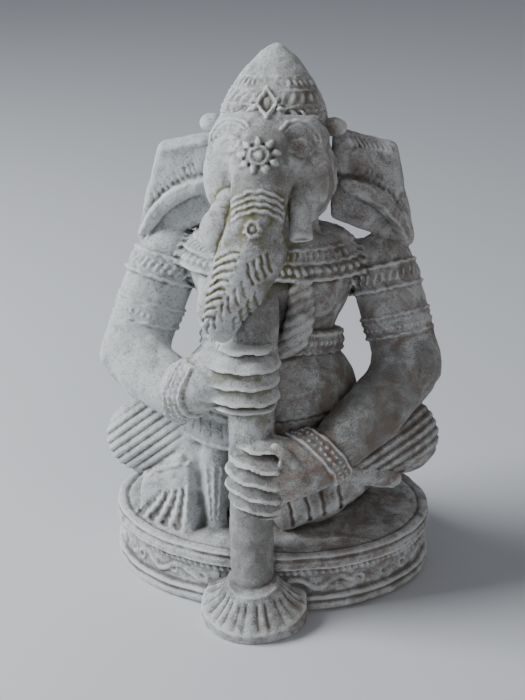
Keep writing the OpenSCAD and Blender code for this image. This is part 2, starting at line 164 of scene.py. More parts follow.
def ridges(u, sharp=1.0):
    """Rounded crests with narrow grooves between them, one for each unit of u, from 0 to 1."""
    return np.abs(np.sin(math.pi * u)) ** sharp


def box_blur(v, cells, times=1):
    """A moving average along all three axes."""
    for _ in range(times):
        for i in range(3):
            pad = [(0, 0)] * 3
            pad[i] = (cells + 1, cells)
            c = np.cumsum(np.pad(v, pad, mode="edge"), axis=i, dtype=np.float64)
            a = [slice(None)] * 3
            b = [slice(None)] * 3
            a[i], b[i] = slice(2 * cells + 1, None), slice(0, -(2 * cells + 1))
            v = ((c[tuple(a)] - c[tuple(b)]) / (2 * cells + 1)).astype(np.float32)
    return v


def smooth_path(points, n):
    """A smooth curve through the points, radius included."""
    p = np.array(points, float)
    p = np.vstack([2 * p[0] - p[1], p, 2 * p[-1] - p[-2]])
    out = []
    for i in range(1, len(p) - 2):
        for t in np.arange(n) / n:
            out.append(0.5 * (2 * p[i] + (p[i + 1] - p[i - 1]) * t
                              + (2 * p[i - 1] - 5 * p[i] + 4 * p[i + 1] - p[i + 2]) * t * t
                              + (3 * p[i] - p[i - 1] - 3 * p[i + 1] + p[i + 2]) * t ** 3))
    out.append(p[-2])
    return np.array(out)


# ---------------------------------------------------------------- shapes
# Each gives its lowest corner, its highest corner and its distance function.

def capsule(p, q, rp, rq):
    p, q = np.array(p, float), np.array(q, float)
    d = q - p
    ll = max(float(d @ d), 1e-9)
    r = max(rp, rq)

    def f(x, y, z):
        t = ((x - p[0]) * (d[0] / ll) + (y - p[1]) * (d[1] / ll)) + (z - p[2]) * (d[2] / ll)
        t = np.clip(t, 0, 1)
        v = np.sqrt((x - p[0] - t * d[0]) ** 2 + (y - p[1] - t * d[1]) ** 2 + (z - p[2] - t * d[2]) ** 2)
        return v - (rp + t * (rq - rp))
    return np.minimum(p, q) - r, np.maximum(p, q) + r, f


def egg(c, s):
    """An ellipsoid of half sizes s."""
    c, s = np.array(c, float), np.array(s, float)

    def f(x, y, z):
        u, v, w = (x - c[0]) / s[0], (y - c[1]) / s[1], (z - c[2]) / s[2]
        a = np.sqrt(u * u + v * v + w * w)
        b = np.sqrt((u / s[0]) ** 2 + (v / s[1]) ** 2 + (w / s[2]) ** 2)
        return a * (a - 1) / np.maximum(b, 1e-5)
    return c - s, c + s, f


def pillow(c, s, around, over):
    """A block with bulging sides: around rounds it as seen from above, over rounds its top and bottom."""
    c, s = np.array(c, float), np.array(s, float)

    def f(x, y, z):
        k = (np.abs((x - c[0]) / s[0]) ** around + np.abs((y - c[1]) / s[1]) ** around) ** (over / around)
        return (((k + np.abs((z - c[2]) / s[2]) ** over) ** (1 / over) - 1) * s.min()).astype(np.float32)
    return c - s, c + s, f


def drum(c, axis, r, thick, soft=0.4):
    """A short round cylinder with softened edges."""
    c, n = np.array(c, float), unit(axis)
    reach = r * np.sqrt(1 - n * n) + thick * abs(n) + 0.1

    def f(x, y, z):
        h = (x - c[0]) * n[0] + (y - c[1]) * n[1] + (z - c[2]) * n[2]
        v = np.sqrt(np.maximum((x - c[0]) ** 2 + (y - c[1]) ** 2 + (z - c[2]) ** 2 - h * h, 0))
        return blend_max(v - r, np.abs(h) - thick, soft)
    return c - reach, c + reach, f


def levels(rows, soft=0.5):
    """A body of oval cross-sections: height, half width, half depth, y of the centre."""
    rows = smooth_path(sorted(rows), 6)
    z0, z1 = rows[0][0], rows[-1][0]
    hw, hd, cy = rows[:, 1].max(), rows[:, 2].max(), rows[:, 3]

    def f(x, y, z):
        a, b, c = (np.interp(z, rows[:, 0], rows[:, i]) for i in (1, 2, 3))
        e = 0.2
        above, below = (np.interp(z + k, rows[:, 0], rows[:, 1]) for k in (e, -e))
        slope = (above - below) / (2 * e)
        u, v = x / a, (y - c) / b
        k = np.sqrt(u * u + v * v)
        g = np.sqrt((u / a) ** 2 + (v / b) ** 2)
        side = k * (k - 1) / np.maximum(g, 1e-4) / np.sqrt(1 + np.minimum(slope * slope, 9))
        return blend_max(side.astype(np.float32), np.abs(z - (z0 + z1) / 2) - (z1 - z0) / 2 + 0 * side, soft)
    return np.array([-hw, cy.min() - hd, z0]), np.array([hw, cy.max() + hd, z1]), f


def wedge(faces, inside, lo, hi, soft):
    """The block between flat faces, each given by three points."""
    planes = []
    for a, b, c in faces:
        n = unit(np.cross(b - a, c - a))
        n = -n if n @ (inside - a) > 0 else n
        planes.append((n, float(n @ a)))

    def f(x, y, z):
        d = None
        for n, k in planes:
            w = x * n[0] + y * n[1] + z * n[2] - k
            d = w if d is None else blend_max(d, w, soft)
        return d.astype(np.float32)
    return lo, hi, f


class Field:
    """The distances to one carved element, made of shapes that are added or carved away."""

    def __init__(self, node):
        self.node, self.work, self.limits = node, [], []

    def solid(self, soften=0.8):
        """Starts from the element's own solid in the frame, its edges softened over that many millimetres."""
        lo, hi = box(self.node)
        self.work.append((lo, hi, soften, "solid", 0))
        return self

    def add(self, shape, k=0.0):
        self.work.append((*shape, "add", k))
        return self

    def carve(self, shape, k=0.2):
        self.work.append((*shape, "carve", k))
        return self

    def warp(self, f):
        """f(x, y, z, d) gives the new distances."""
        self.work.append((None, None, f, "warp", 0))
        return self

    def limit(self, f):
        """Where this element ends inside a surface that it shares with the next one."""
        self.limits.append(f)
        return self

    def tube(self, places, radii, n=4, k=0.0):
        """A limb through places, with its radius at each."""
        points = [(*p, r) for p, r in zip(places, radii)]
        path = smooth_path(points, n) if n > 1 else np.array(points, float)
        for a, b in zip(path[:-1], path[1:]):
            self.add(capsule(a[:3], b[:3], a[3], b[3]), k)
        return self

    def hoop(self, c, u, v, r, a0, a1, n, k=0.0):
        """A rounded ridge along part of a slanted oval with the half axes u and v."""
        turn = np.radians(np.linspace(a0, a1, n + 1))
        places = [np.array(c) + np.array(u) * math.cos(a) + np.array(v) * math.sin(a) for a in turn]
        return self.tube(places, [r] * len(places), 1, k)

    def measured(self, soften):
        """Distances to the element's mesh in the frame, on this field's cells."""
        mesh = frame["nodes"][self.node].data
        mesh.calc_loop_triangles()
        co = np.zeros(len(mesh.vertices) * 3, np.float32)
        mesh.vertices.foreach_get("co", co)
        tri = np.zeros(len(mesh.loop_triangles) * 3, np.int32)
        mesh.loop_triangles.foreach_get("vertices", tri)
        points = (co.reshape(-1, 3) * 1000 - START) / STEP
        band = 3.0 / STEP
        grid = openvdb.FloatGrid.createLevelSetFromPolygons(
            points.astype(np.float32), tri.reshape(-1, 3).astype(np.uint32), halfWidth=band)
        out = np.zeros([s.stop - s.start for s in self.cells], np.float32)
        grid.copyToArray(out, ijk=tuple(s.start for s in self.cells))
        return box_blur(out * STEP, max(1, round(soften / 2 / STEP)), 2)

    def build(self):
        boxes = [(lo, hi) for lo, hi, _, how, _ in self.work if how in ("add", "solid")]
        self.cells = span(np.min([b[0] for b in boxes], 0) - REACH, np.max([b[1] for b in boxes], 0) + REACH)
        d = np.full([s.stop - s.start for s in self.cells], FAR, np.float32)
        for lo, hi, f, how, k in self.work:
            if how == "solid":
                d = np.minimum(d, self.measured(f))
                continue
            s = self.cells if lo is None else overlap(span(lo - REACH, hi + REACH), self.cells)
            if any(a.stop <= a.start for a in s):
                continue
            part = within(s, self.cells)
            x, y, z = coords(s)
            if how == "warp":
                d[part] = f(x, y, z, d[part])
            elif how == "add":
                d[part] = blend_min(d[part], f(x, y, z), k)
            else:
                d[part] = blend_max(d[part], -f(x, y, z), k)
        self.whole = self.part = d
        x, y, z = coords(self.cells)
        for f in self.limits:
            self.part = np.maximum(self.part, f(x, y, z))
        return self


fields = {}


def new(node):
    fields[node] = Field(node)
    return fields[node]


# ---------------------------------------------------------------- horn

new("horn_tube").solid(0.8)
new("horn_ring").add(
    drum(mid("horn_ring") - (0, 0, 0.4), (0, -0.16, 0.99), half("horn_ring")[0] - 0.2, 1.1, 0.9))

BELL_C = mid("horn_bell") - (0, 0, 0.6)
BELL_R = half("horn_bell")[0]
BELL_LEAN = unit((0, -0.2, 0.98))
BELL_HEIGHTS = (-7, 0.1, 0.7, 1.8, 3.2, 5.4, 8)       # up the bell's axis from its rim
BELL_SHARES = (1, 1, 0.95, 0.80, 0.66, 0.50, 0.44)    # of the rim's radius at those heights
FLUTES = 24                                           # flutes right round the bell


def bell(x, y, z):
    """A flare round a leaning axis, fluted, with a plain rim that stands on the ground."""
    n = BELL_LEAN
    h = (x - BELL_C[0]) * n[0] + (y - BELL_C[1]) * n[1] + (z - BELL_C[2]) * n[2]
    rad = np.sqrt(np.maximum((x - BELL_C[0]) ** 2 + (y - BELL_C[1]) ** 2 + (z - BELL_C[2]) ** 2 - h * h, 0))
    turn = np.arctan2(y - BELL_C[1] + 0 * x, x - BELL_C[0] + 0 * y)
    uneven = turn + 0.05 * np.sin(3 * turn) + 0.03 * np.sin(11 * turn)
    flute = ridges(uneven * FLUTES / (2 * math.pi) + 0 * z, 0.6)
    deep = 0.95 + 0.3 * np.sin(5 * turn + 1)
    r = np.interp(h, BELL_HEIGHTS, BELL_SHARES) * BELL_R
    r = r - (1 - flute) * deep * ramp(h, 0.2, 0.8) * (1 - ramp(h, 3.8, 5.2))
    return blend_max((rad - r) * 0.8, np.maximum(h - 6.2, -z + 0 * x), 0.3).astype(np.float32)


new("horn_bell").add((*box("horn_bell"), bell))

# ---------------------------------------------------------------- plinth

PA, PB = half("plinth")[0], box("plinth")[1][1]       # half width and half depth of the oval
PH = box("plinth")[1][2]                              # height of its top
FRIEZE_Z, FRIEZE_H = mid("plinth_frieze")[2], half("plinth_frieze")[2]


def oval_distance(x, y):
    u, v = x / PA, y / PB
    k = np.sqrt(u * u + v * v)
    return k * (k - 1) / np.maximum(np.sqrt((u / PA) ** 2 + (v / PB) ** 2), 1e-4)


def around(x, y):
    """Angle round the plinth, and the length that goes with it."""
    turn = np.arctan2(y / PB + 0 * x, x / PA + 0 * y)
    return turn, turn * (PA + PB) / 2


def plinth(x, y, z):
    """Mouldings above and below a recessed band, and a line cut in the top near its edge."""
    side = oval_distance(x, y)
    turn, _ = around(x, y)
    lean = 0.35 * np.sin(2 * turn + 0.6) + 0.25 * np.sin(5 * turn) + 0.15 * np.sin(17 * turn)
    z_low, z_top = FRIEZE_Z - FRIEZE_H, FRIEZE_Z + FRIEZE_H
    heights = (0, z_low - 3, z_low - 1.9, z_low - 1.6, z_low - 1, z_low - 0.7, z_low, z_low + 0.3,
               z_top - 0.2, z_top + 0.2, PH - 2.1, PH - 1.8, PH - 1.2, PH - 0.9, PH)
    insets = (1.5, 0.3, 0.2, 0.9, 0.9, 0.3, 0.3, 1.8, 1.8, 0.2, 0.3, 0.9, 0.9, 0.3, 1.0)
    inset = np.interp(z + 0.3 * lean, heights, insets)
    d = blend_max(side + inset, z - PH + 0 * side, 1.2)
    line = np.exp(-((side + 3.0 + 0.3 * lean) / 0.5) ** 2) * np.exp(-((z - PH) / 1.2) ** 2)
    return np.maximum(d + 0.6 * line, -z + 0 * d).astype(np.float32)


def frieze(x, y, z):
    """A worn band of plain relief: loose loops and strokes under a hatched border."""
    side = oval_distance(x, y)
    turn, u = around(x, y)
    uu = u + 1.4 * np.sin(u / 7.3) + 0.6 * np.sin(u / 3.1 + 1)
    w = FRIEZE_Z - 0.4 + 1.25 * np.sin(uu / 2.1)
    loop = 1 - ramp(np.abs(z - w) / np.sqrt(1 + (0.6 * np.cos(uu / 2.1)) ** 2), 0.35, 0.9)
    eye = np.sqrt(((uu / 6.6 + 0.25) % 1 - 0.5) ** 2 * 43 + (z - FRIEZE_Z + 0.6) ** 2)
    eye = 1 - ramp(np.abs(eye - 1.1), 0.2, 0.55)
    hatch = ridges((u + 0.35 * z) / 1.7, 1.2) * (1 - ramp(FRIEZE_Z + FRIEZE_H - z, 1.3, 2.0))
    worn = 0.55 + 0.45 * np.sin(u / 5.7 + 0.9) * np.sin(u / 2.9 + 2)
    h = np.maximum(np.maximum(loop * worn, eye * (1.05 - worn)), hatch * 0.8)
    d = side + 1.65 - 0.75 * h
    return np.maximum(np.maximum(d, -side - 4.4), np.abs(z - FRIEZE_Z) - FRIEZE_H + 0 * d).astype(np.float32)


new("plinth").add((*box("plinth"), plinth))
new("plinth_frieze").add((*box("plinth_frieze"), frieze))

# ---------------------------------------------------------------- head, trunk and crown

head = new("head").solid(1.4)
for s, side in SIDES:
    # a bulging cheek with a shallow hollow in front of the ear
    head.add(egg(mid("head") + (s * 8.6, -7, 5.6), (6.6, 6.6, 10.5)), 2.4)
    new(side + "_ear_knob").add(egg(mid(side + "_ear_knob"), half(side + "_ear_knob") * (1.1, 1.2, 1.0)))

trunk = new("trunk").solid(1.6)
trunk.add(egg(spot("trunk", 0.61, 0.26, 0.42), (6.1, 6.5, 6.2)), 2.0)
trunk.tube(spots("trunk", (0.24, 0.19, 0.24), (0.2, 0.18, 0.19), (0.16, 0.18, 0.11)), [5.2, 5.0, 4.2], 3, 1.5)

tusk_tip = spot("right_tusk", 0.57, 0.27, 0.34)
new("right_tusk").add(capsule(spot("right_tusk", 0.77, 0.94, 0.74), tusk_tip, 3.8, 4.0))
fields["right_tusk"].add(egg(tusk_tip - (0.1, 0.9, 0.8), (4.4, 4.4, 5.2)), 0.8)
CUT_N = unit((0.14, -0.45, -0.88))      # the left tusk is sawn off square and its end is hollowed
stump = spots("left_tusk", (0.34, 0.68, 0.62), (0.46, 0.42, 0.40), (0.55, 0.18, 0.12))
new("left_tusk").tube(stump, [2.2, 2.5, 2.7], 3)
fields["left_tusk"].carve(drum(stump[2] + CUT_N * 2.8, CUT_N, 5, 2.2, 0.1), 0.2)
fields["left_tusk"].carve(drum(stump[2] + CUT_N * 0.4, CUT_N, 1.4, 0.8, 0.2), 0.3)

CROWN_Z0, CROWN_Z1 = box("crown_band")[0][2], box("crown_finial")[1][2]
CROWN_W, CROWN_D = half("crown_band")[0], half("crown_band")[1] + 0.4
CROWN_BACK = 5.6                        # how far the tip stands behind the brow's middle


def crown_row(t):
    """One level of the bulging cone, from its foot at 0 to its tip at 1."""
    share = (1 - min(t, 0.995) ** 1.8) ** 0.8
    height = CROWN_Z0 + (CROWN_Z1 - 0.1 - CROWN_Z0) * t
    return height, CROWN_W * share, CROWN_D * share, -0.6 + CROWN_BACK * t


crown_rows = [crown_row(t) for t in np.linspace(0, 1, 9)]
DOME_Z0, DOME_Z1 = (box("crown_dome")[i][2] for i in (0, 1))
CROWN_CUTS = {"crown_band": (-99, DOME_Z0), "crown_dome": (DOME_Z0, DOME_Z1), "crown_finial": (DOME_Z1, 999)}
for name, (lo, hi) in CROWN_CUTS.items():
    new(name).add(levels(crown_rows, 0.9)).limit(
        lambda x, y, z, lo=lo, hi=hi: np.maximum(lo - z, z - hi) + 0 * (x + y))

# ---------------------------------------------------------------- ears

for s, side in SIDES:
    ear = new(side + "_ear").solid(1.1)
    # the lobe stands proud below the fold
    fold = side_spots(side, "ear", (0.18, 0.15, 0.56), (0.45, 0.12, 0.47),
                      (0.72, 0.12, 0.32), (0.9, 0.2, 0.12))
    ear.tube(fold, [0.7, 0.9, 0.9, 0.6], 4, 1.6)

# ---------------------------------------------------------------- torso

belly = new("belly").add(egg(mid("belly"), half("belly")))
belly.carve(egg(mid("belly") + (1.2, -18, 2.6), (1.2, 1.3, 0.9)), 0.6)

chest = new("chest").solid(1.6)
for s, side in SIDES:
    chest.add(egg(mid("chest") + (s * 9.5, -9.2, 2.4), (7.4, 5.2, 5.4)), 2.2)

COLLAR_W, COLLAR_D = half("collar")[0], half("collar")[1]
COLLAR_Y, COLLAR_Z = mid("collar")[1] + 0.3, box("collar")[0][2]
COLLAR_ROWS = ((0, 0.99, 0.96, 0), (1.5, 1, 0.98, 0), (5, 0.91, 0.88, 0.3), (9, 0.75, 0.74, 0.9))
new("collar").add(levels([(COLLAR_Z + up, COLLAR_W * a, COLLAR_D * b, COLLAR_Y + back)
                          for up, a, b, back in COLLAR_ROWS], 0.8))

garland = new("chest_garland")
for s, side in SIDES:
    hang = ((0.36, 0.76, 0.89), (0.37, 0.63, 0.62), (0.34, 0.53, 0.37),
            (0.25, 0.37, 0.16), (0.01, 0.21, 0.08))
    strand = [spot("chest_garland", 0.5 + s * out, back, up) for out, back, up in hang]
    garland.tube(strand, (2.8, 3.3, 3.5, 3.0, 2.0), 4)


def garland_cut(x, y, z, d):
    """Oblique ridges along the strands, rising to the left."""
    u = (z * 0.86 - x * 0.5 + y * 0.2) / 2.2
    return d + 0.5 * (1 - ridges(u, 0.8)) * ramp(-y, 11, 14)


garland.warp(garland_cut)

BELT_C = mid("waist_belt") + (0, 0.4, 0)
BELT_N = unit((0, 0.225, 0.974))
BELT_V = np.cross(BELT_N, (1, 0, 0))
belt = new("waist_belt")
for k in (-1, 0, 1):
    belt.hoop(BELT_C + BELT_N * k * 1.5, (16.4, 0, 0), BELT_V * 14.1, 1.2, 0, 360, 36, 0.5)

skirt_w, skirt_d = half("skirt")[0] + 1, half("skirt")[1] - 0.3
SKIRT_C = np.array((0, mid("skirt")[1], box("skirt")[0][2]))
skirt = new("skirt").add(levels([(SKIRT_C[2] + up, skirt_w * a, skirt_d * a, SKIRT_C[1]) for up, a in
                                 ((0.2, 1.0), (1.6, 1.0), (3.4, 0.97), (7.4, 0.95), (11, 0.92))], 0.6))


def pleats(x, y, z, d):
    turn = np.arctan2((y - SKIRT_C[1]) / 18.5 + 0 * x, x / 23 + 0 * y)
    u = turn / math.radians(9.5) + 0.04 * (z - SKIRT_C[2])
    return d + 0.6 * (1 - ridges(u, 0.7)) * ramp(z + 0 * d, SKIRT_C[2] + 2.4, SKIRT_C[2] + 3.6)


skirt.warp(pleats)
skirt.hoop(SKIRT_C + (0, 0, 1.4), (skirt_w - 0.3, 0, 0), (0, -skirt_d + 0.2, 0), 0.75, 0, 180, 30, 0.3)

hips = new("hips").add(egg(mid("hips") - (0, 0, 1.1), (28, 21, 17)))
hips.add(capsule(mid("hips") + (-16, 6.5, -3), mid("hips") + (16, 6.5, -3), 12, 12), 2)
hips.warp(lambda x, y, z, d: np.maximum(d, PH - z + 0 * d))

# ---------------------------------------------------------------- legs and feet

KNEE_UP = {"right": 0.43, "left": 0.60}       # the left knee is held higher
PLEAT_N = unit((-0.61, 0.2, 0.767))           # pleats lie across this direction
PLEAT_PITCH = 2.15
for s, side in SIDES:
    knee = side_spot(side, "leg", 0.77, 0.47, KNEE_UP[side])
    thigh, shin = side_spots(side, "leg", (0.28, 0.68, 0.48), (0.41, 0.30, 0.48))
    leg = new(side + "_leg").tube([thigh, knee, shin], [12, 9.6, 7.9], 1)

    def folds(x, y, z, d, knee=knee, s=s):
        """Cloth pleats that fan over the knee and die out towards the hip and the shin."""
        u = (x - knee[0]) * PLEAT_N[0] + (y - knee[1]) * PLEAT_N[1] + (z - knee[2]) * PLEAT_N[2]
        far = (x - knee[0]) * (-s) * 0.9 + (y - knee[1]) * 0.1 + 0 * z
        zone = (1 - ramp(far, 7.5, 12.5)) * (1 - ramp(y - knee[1] + 0 * far, 0.5, 5.5))
        zone = zone * (1 - ramp(np.abs(u) + 0 * far, 6.5, 9.0))
        return d + (0.75 * (1 - ridges(u / PLEAT_PITCH + 0.5, 0.8)) - 0.2) * zone
    leg.warp(folds)

# beaded trouser cuffs over the ankles
CUFF_ENDS = {"right": ((0.82, 0.76, 0.16), (0.16, 0.31, 0.9)),
             "left": ((0.88, 0.8, 0.35), (0.12, 0.35, 0.76))}
for s, side in SIDES:
    p, q = side_spots(side, "cuff", *CUFF_ENDS[side])
    cuff = new(side + "_cuff").add(capsule(p, q, 2.2, 2.4))
    for off in (-1.7, 1.8):
        cuff.add(capsule(p + (0, -1.2, off), q + (0, -1.3, off), 0.6, 0.6), 0.3)
    for t in np.linspace(0.03, 0.97, 9):
        cuff.add(egg(p + (q - p) * t + (0, -2.05, 0.2), (0.62, 0.6, 0.75)), 0.15)

# the right foot is a ridged block: the instep falls to the toes on one side and drops sheer on the other
ridge, front, toe_end, heel_top, sole_in, side_top = spots(
    "right_foot", (0.68, 0.22, 0.78), (0.73, 0, 0), (0, 0.47, 0),
    (0.1, 0.7, 0.42), (0.89, 0.4, 0), (0.93, 0.4, 0.64))
foot = new("right_foot").add(wedge(
    [(ridge, front, toe_end), (ridge, front, sole_in), (toe_end, heel_top, toe_end + (4, 9, 0)),
     (sole_in, side_top, sole_in + (0, 9, 0)),
     (sole_in + (0, 10, 0), toe_end + (0, 9, 0), sole_in + (0, 10, 9)),
     (ridge, heel_top, ridge + (5, 5, 0.5))],
    (ridge + toe_end + sole_in) / 3 + (0, 3, 0), toe_end - (1, 9, 1), ridge + (7, 14, 1), 1.4))
foot.tube(spots("right_foot", (0.7, 0.62, 0.78), (0.6, 0.65, 0.4)), [5, 6], 1, 2.5)
# the left foot lies behind the hand, with its toes in a rising row
foot = new("left_foot")
foot.tube(spots("left_foot", (0.13, 0.3, 0.21), (0.45, 0.38, 0.36), (0.8, 0.6, 0.54)), [3.9, 3.9, 3.5], 3)
foot.tube(spots("left_foot", (0.6, 0.67, 0.75), (0.48, 0.7, 0.43), (0.24, 0.73, 0.22)), [5.4, 6.4, 6], 3, 2.5)

# the end of the waistcloth hangs between the shins and narrows to the plinth
drop = spots("sash_end", (0.4, 1.15, 0.85), (0.4, 1.1, 0.55), (0.45, 1.0, 0.2), (0.5, 0.95, -0.1))
new("sash_end").tube(drop, [3.6, 3.4, 3.0, 2.6], 4)

# ---------------------------------------------------------------- arms and hands

for s, side in SIDES:
    new(side + "_upper_arm").solid(2.0)
    new(side + "_forearm").solid(2.0)


def ledges(v, pitch, floor_share):
    """Chiselled fingers: below each crest a sharp drop, a groove's floor and a slope to the next crest."""
    t = v / pitch - np.floor(v / pitch)
    slope = 0.12 + 0.88 * np.clip((t - floor_share) / (1 - floor_share), 0, 1)
    return np.where(t < 0.1, 1 - 8.8 * t, slope)


def fist(node, c, sizes, rounding, over, pitch, tilt, top, count, cut_edge, depth):
    """A block of a hand. Its fingers are cut across its front to cut_edge, where the palm falls back."""
    hand = new(node).add(pillow(c, sizes, rounding, over))

    def fingers(x, y, z, d):
        down = c[2] + top - z
        v = down - tilt * (x - c[0]) * ramp(down, 0.5, 4) + 0.18 * np.sin(x + 0.5 * z) + 0 * y
        edge = x - c[0] - cut_edge - 0.9 * np.abs((v / pitch) % 1 - 0.5)
        behind = y - c[1] + 0 * v
        zone = (1 - ramp(behind, 2.5, 5)) * (1 - ramp(edge, -0.3, 0.3)) * ramp(v, -0.2, 0.1)
        end = 1 - ramp(v, pitch * count - 0.4, pitch * count + 0.3)
        palm = ramp(edge, -0.3, 0.3) * (1 - ramp(edge, 6, 9)) * (1 - ramp(behind, 0, 4)) * ramp(v, 1, 4)
        return d + depth * (1 - ledges(v, pitch, 0.40)) * zone * end + 0.8 * depth * palm
    hand.warp(fingers)
    return hand


right_c = spot("right_hand", 0.7, 0.45, 0.7)
hand = fist("right_hand", right_c, (8.7, 7.9, 8.0), 2.3, 5, 4.1, 0.0, 7.4, 3.4, 12, 2.1)
wrist = spots("right_hand", (0.2, 0.63, 0.4), (0.36, 0.54, 0.55), (0.48, 0.48, 0.67))
hand.tube(wrist, [6.5, 6.3, 6.0], 3, 1.5)
left_c = spot("left_hand", 0.36, 0.40, 0.41)
hand = fist("left_hand", left_c, (9.2, 8.2, 10.2), 2.2, 2.6, 3.8, 0.17, 8.2, 4.3, 4.4, 2.1)
wrist = spots("left_hand", (0.82, 0.7, 0.65), (0.66, 0.56, 0.55), (0.52, 0.48, 0.48))
hand.tube(wrist, [6.6, 6.6, 6.9], 3, 1.5)
# the thumb lies along the top of the lower hand
thumb = spots("left_hand", (0.47, 0.2, 0.98), (0.56, 0.19, 0.84), (0.64, 0.2, 0.68))
hand.tube(thumb, [1.0, 1.25, 1.0], 4, 0.5)

# ---------------------------------------------------------------- one stone

LIMB_BLEND = 4.0        # fillet between the two halves of an arm
GROUPS = [      # elements that are merged in turn, and the fillet in millimetres each gets
    (("hips", "skirt"), 0), (("plinth",), 0.4), (("plinth_frieze",), 0), (("belly",), 0.6), (("chest",), 1.2),
    (("waist_belt",), 0.3), (("collar",), 0.5), (("chest_garland",), 0.3),
    (("head",), 1.5), (("crown_band", "crown_dome", "crown_finial"), 0.5),
    (("right_ear",), 1.0), (("left_ear",), 1.0), (("right_ear_knob",), 0.6), (("left_ear_knob",), 0.6),
    (("trunk",), 1.6), (("right_tusk",), 0.3), (("left_tusk",), 0.15),
    (("right_leg",), 1.2), (("left_leg",), 1.2), (("right_foot",), 0.9), (("left_foot",), 0.9),
    (("right_cuff",), 0.4), (("left_cuff",), 0.4), (("sash_end",), 2.0),
    (("right_upper_arm", "right_forearm"), 1.2), (("left_upper_arm", "left_forearm"), 1.2),
    (("horn_tube",), 0.4), (("horn_bell",), 0.3), (("horn_ring",), 0.3),
    (("right_hand",), 0.7), (("left_hand",), 0.7),
]
RELIEFS = ["trunk_rings", "trunk_flower", "forehead_flower", "forehead_jewel"]
PAIRED = ("brow", "eye", "sleeve", "armlet", "bracelet")
RELIEFS += [side + "_" + part for part in PAIRED for _, side in SIDES]
names = [n for g, _ in GROUPS for n in g] + RELIEFS
assert sorted(names) == sorted(list(fields) + RELIEFS) == sorted(frame["nodes"])

stone = np.full(SIZE, FAR, np.float32)          # the whole surface
first = np.full(SIZE, FAR, np.float32)          # nearest element, and the next nearest
second = np.full(SIZE, FAR, np.float32)
owner = np.zeros(SIZE, np.int8)
shares = {}                                     # each element's cells and distances


def claim(n, cells, d):
    """Enters an element in the record of which one each cell is nearest to."""
    second[cells] = np.minimum(second[cells], np.maximum(first[cells], d))
    owner[cells][d < first[cells]] = names.index(n) + 1
    first[cells] = np.minimum(first[cells], d)
    shares[n] = (cells, d)


for group, k in GROUPS:
    cells = [fields[n].build().cells for n in group]
    joint_cells = tuple(slice(min(c[i].start for c in cells), max(c[i].stop for c in cells))
                        for i in range(3))
    joint = np.full([s.stop - s.start for s in joint_cells], FAR, np.float32)
    for n, c in zip(group, cells):
        part = within(c, joint_cells)
        joint[part] = blend_min(joint[part], fields[n].whole, LIMB_BLEND if n.endswith("arm") else 0)
        claim(n, c, fields[n].part)
    stone[joint_cells] = blend_min(stone[joint_cells], joint, k)

# ---------------------------------------------------------------- carved relief
# Strokes drawn on a chart that is laid against the stone, raised or cut in.

FRONT_U = unit((0.99, 0.15, 0))                 # the front of the figure faces up and a little aside
FRONT_V = unit((-0.05, 0.36, 0.93))


def flat_chart(c):
    """u to the right and v up, from c, for what faces the front."""
    def f(x, y, z):
        return tuple((x - c[0]) * a[0] + (y - c[1]) * a[1] + (z - c[2]) * a[2] for a in (FRONT_U, FRONT_V))
    return f


def round_chart(c, axis, r, sag=0.0):
    """u round an axis, from the front at radius r, and v along it, rising with sag towards the sides."""
    n = unit(axis)
    e = unit(np.array((0, -1, 0)) + n * n[1])
    g = np.cross(n, e)

    def f(x, y, z):
        dx, dy, dz = x - c[0], y - c[1], z - c[2]
        a, b, v = (dx * k[0] + dy * k[1] + dz * k[2] for k in (e, g, n))
        u = np.arctan2(b, a) * r
        return u, v + sag * u * u
    return f


def drawn(u, v, strokes):
    """The height that a set of strokes gives: the highest one where they cross."""
    h = np.zeros(u.shape, np.float32)
    for kind, place, size, tall in strokes:
        if kind == "spot":          # place is its middle, size its half width and half height
            q = ((u - place[0]) / size[0]) ** 2 + ((v - place[1]) / size[1]) ** 2
            w = np.maximum(1 - q, 0) ** 0.8
        elif kind == "row":         # spots all along v = place[1]; size has their pitch too
            a = (u - place[0] + size[2] / 2) % size[2] - size[2] / 2
            w = np.maximum(1 - (a / size[0]) ** 2 - ((v - place[1]) / size[1]) ** 2, 0) ** 0.7
        elif kind == "slant":       # leaning strokes along v = place[1]; size: half width, half height, pitch
            a = (u - place[0] - 0.5 * (v - place[1]) + size[2] / 2) % size[2] - size[2] / 2
            w = np.maximum(1 - (a / size[0]) ** 2 - ((v - place[1]) / size[1]) ** 4, 0) ** 0.7
        elif kind == "ring":        # size: half width, half height and thickness
            k = np.sqrt(((u - place[0]) / size[0]) ** 2 + ((v - place[1]) / size[1]) ** 2)
            w = np.maximum(1 - ((k - 1) * min(size[0], size[1]) / size[2]) ** 2, 0)
        elif kind == "petal":       # size: half length, half width and the direction it points in
            cu, su = math.cos(size[2]), math.sin(size[2])
            p, q = (u - place[0]) * cu + (v - place[1]) * su, -(u - place[0]) * su + (v - place[1]) * cu
            narrow = size[1] * np.clip(1.15 - 0.5 * p / size[0], 0.3, 2)
            w = np.maximum(1 - (p / size[0]) ** 2 - (q / narrow) ** 2, 0) ** 0.7
        elif kind == "band":        # flat between two values of v, with edges size wide
            w = ramp(v, place[0] - size, place[0] + size) * (1 - ramp(v, place[1] - size, place[1] + size))
        elif kind == "level":       # a ridge right across at v = place
            w = np.maximum(1 - ((v - place) / size) ** 2, 0)
        else:                       # a line through the points in place
            q = np.full(h.shape, 9.0, np.float32)
            for (u0, v0), (u1, v1) in zip(place[:-1], place[1:]):
                du, dv = u1 - u0, v1 - v0
                t = np.clip(((u - u0) * du + (v - v0) * dv) / (du * du + dv * dv + 1e-9), 0, 1)
                q = np.minimum(q, (u - u0 - t * du) ** 2 + (v - v0 - t * dv) ** 2)
            w = np.maximum(1 - q / size ** 2, 0)
        h = np.maximum(h, tall * w)
    return h


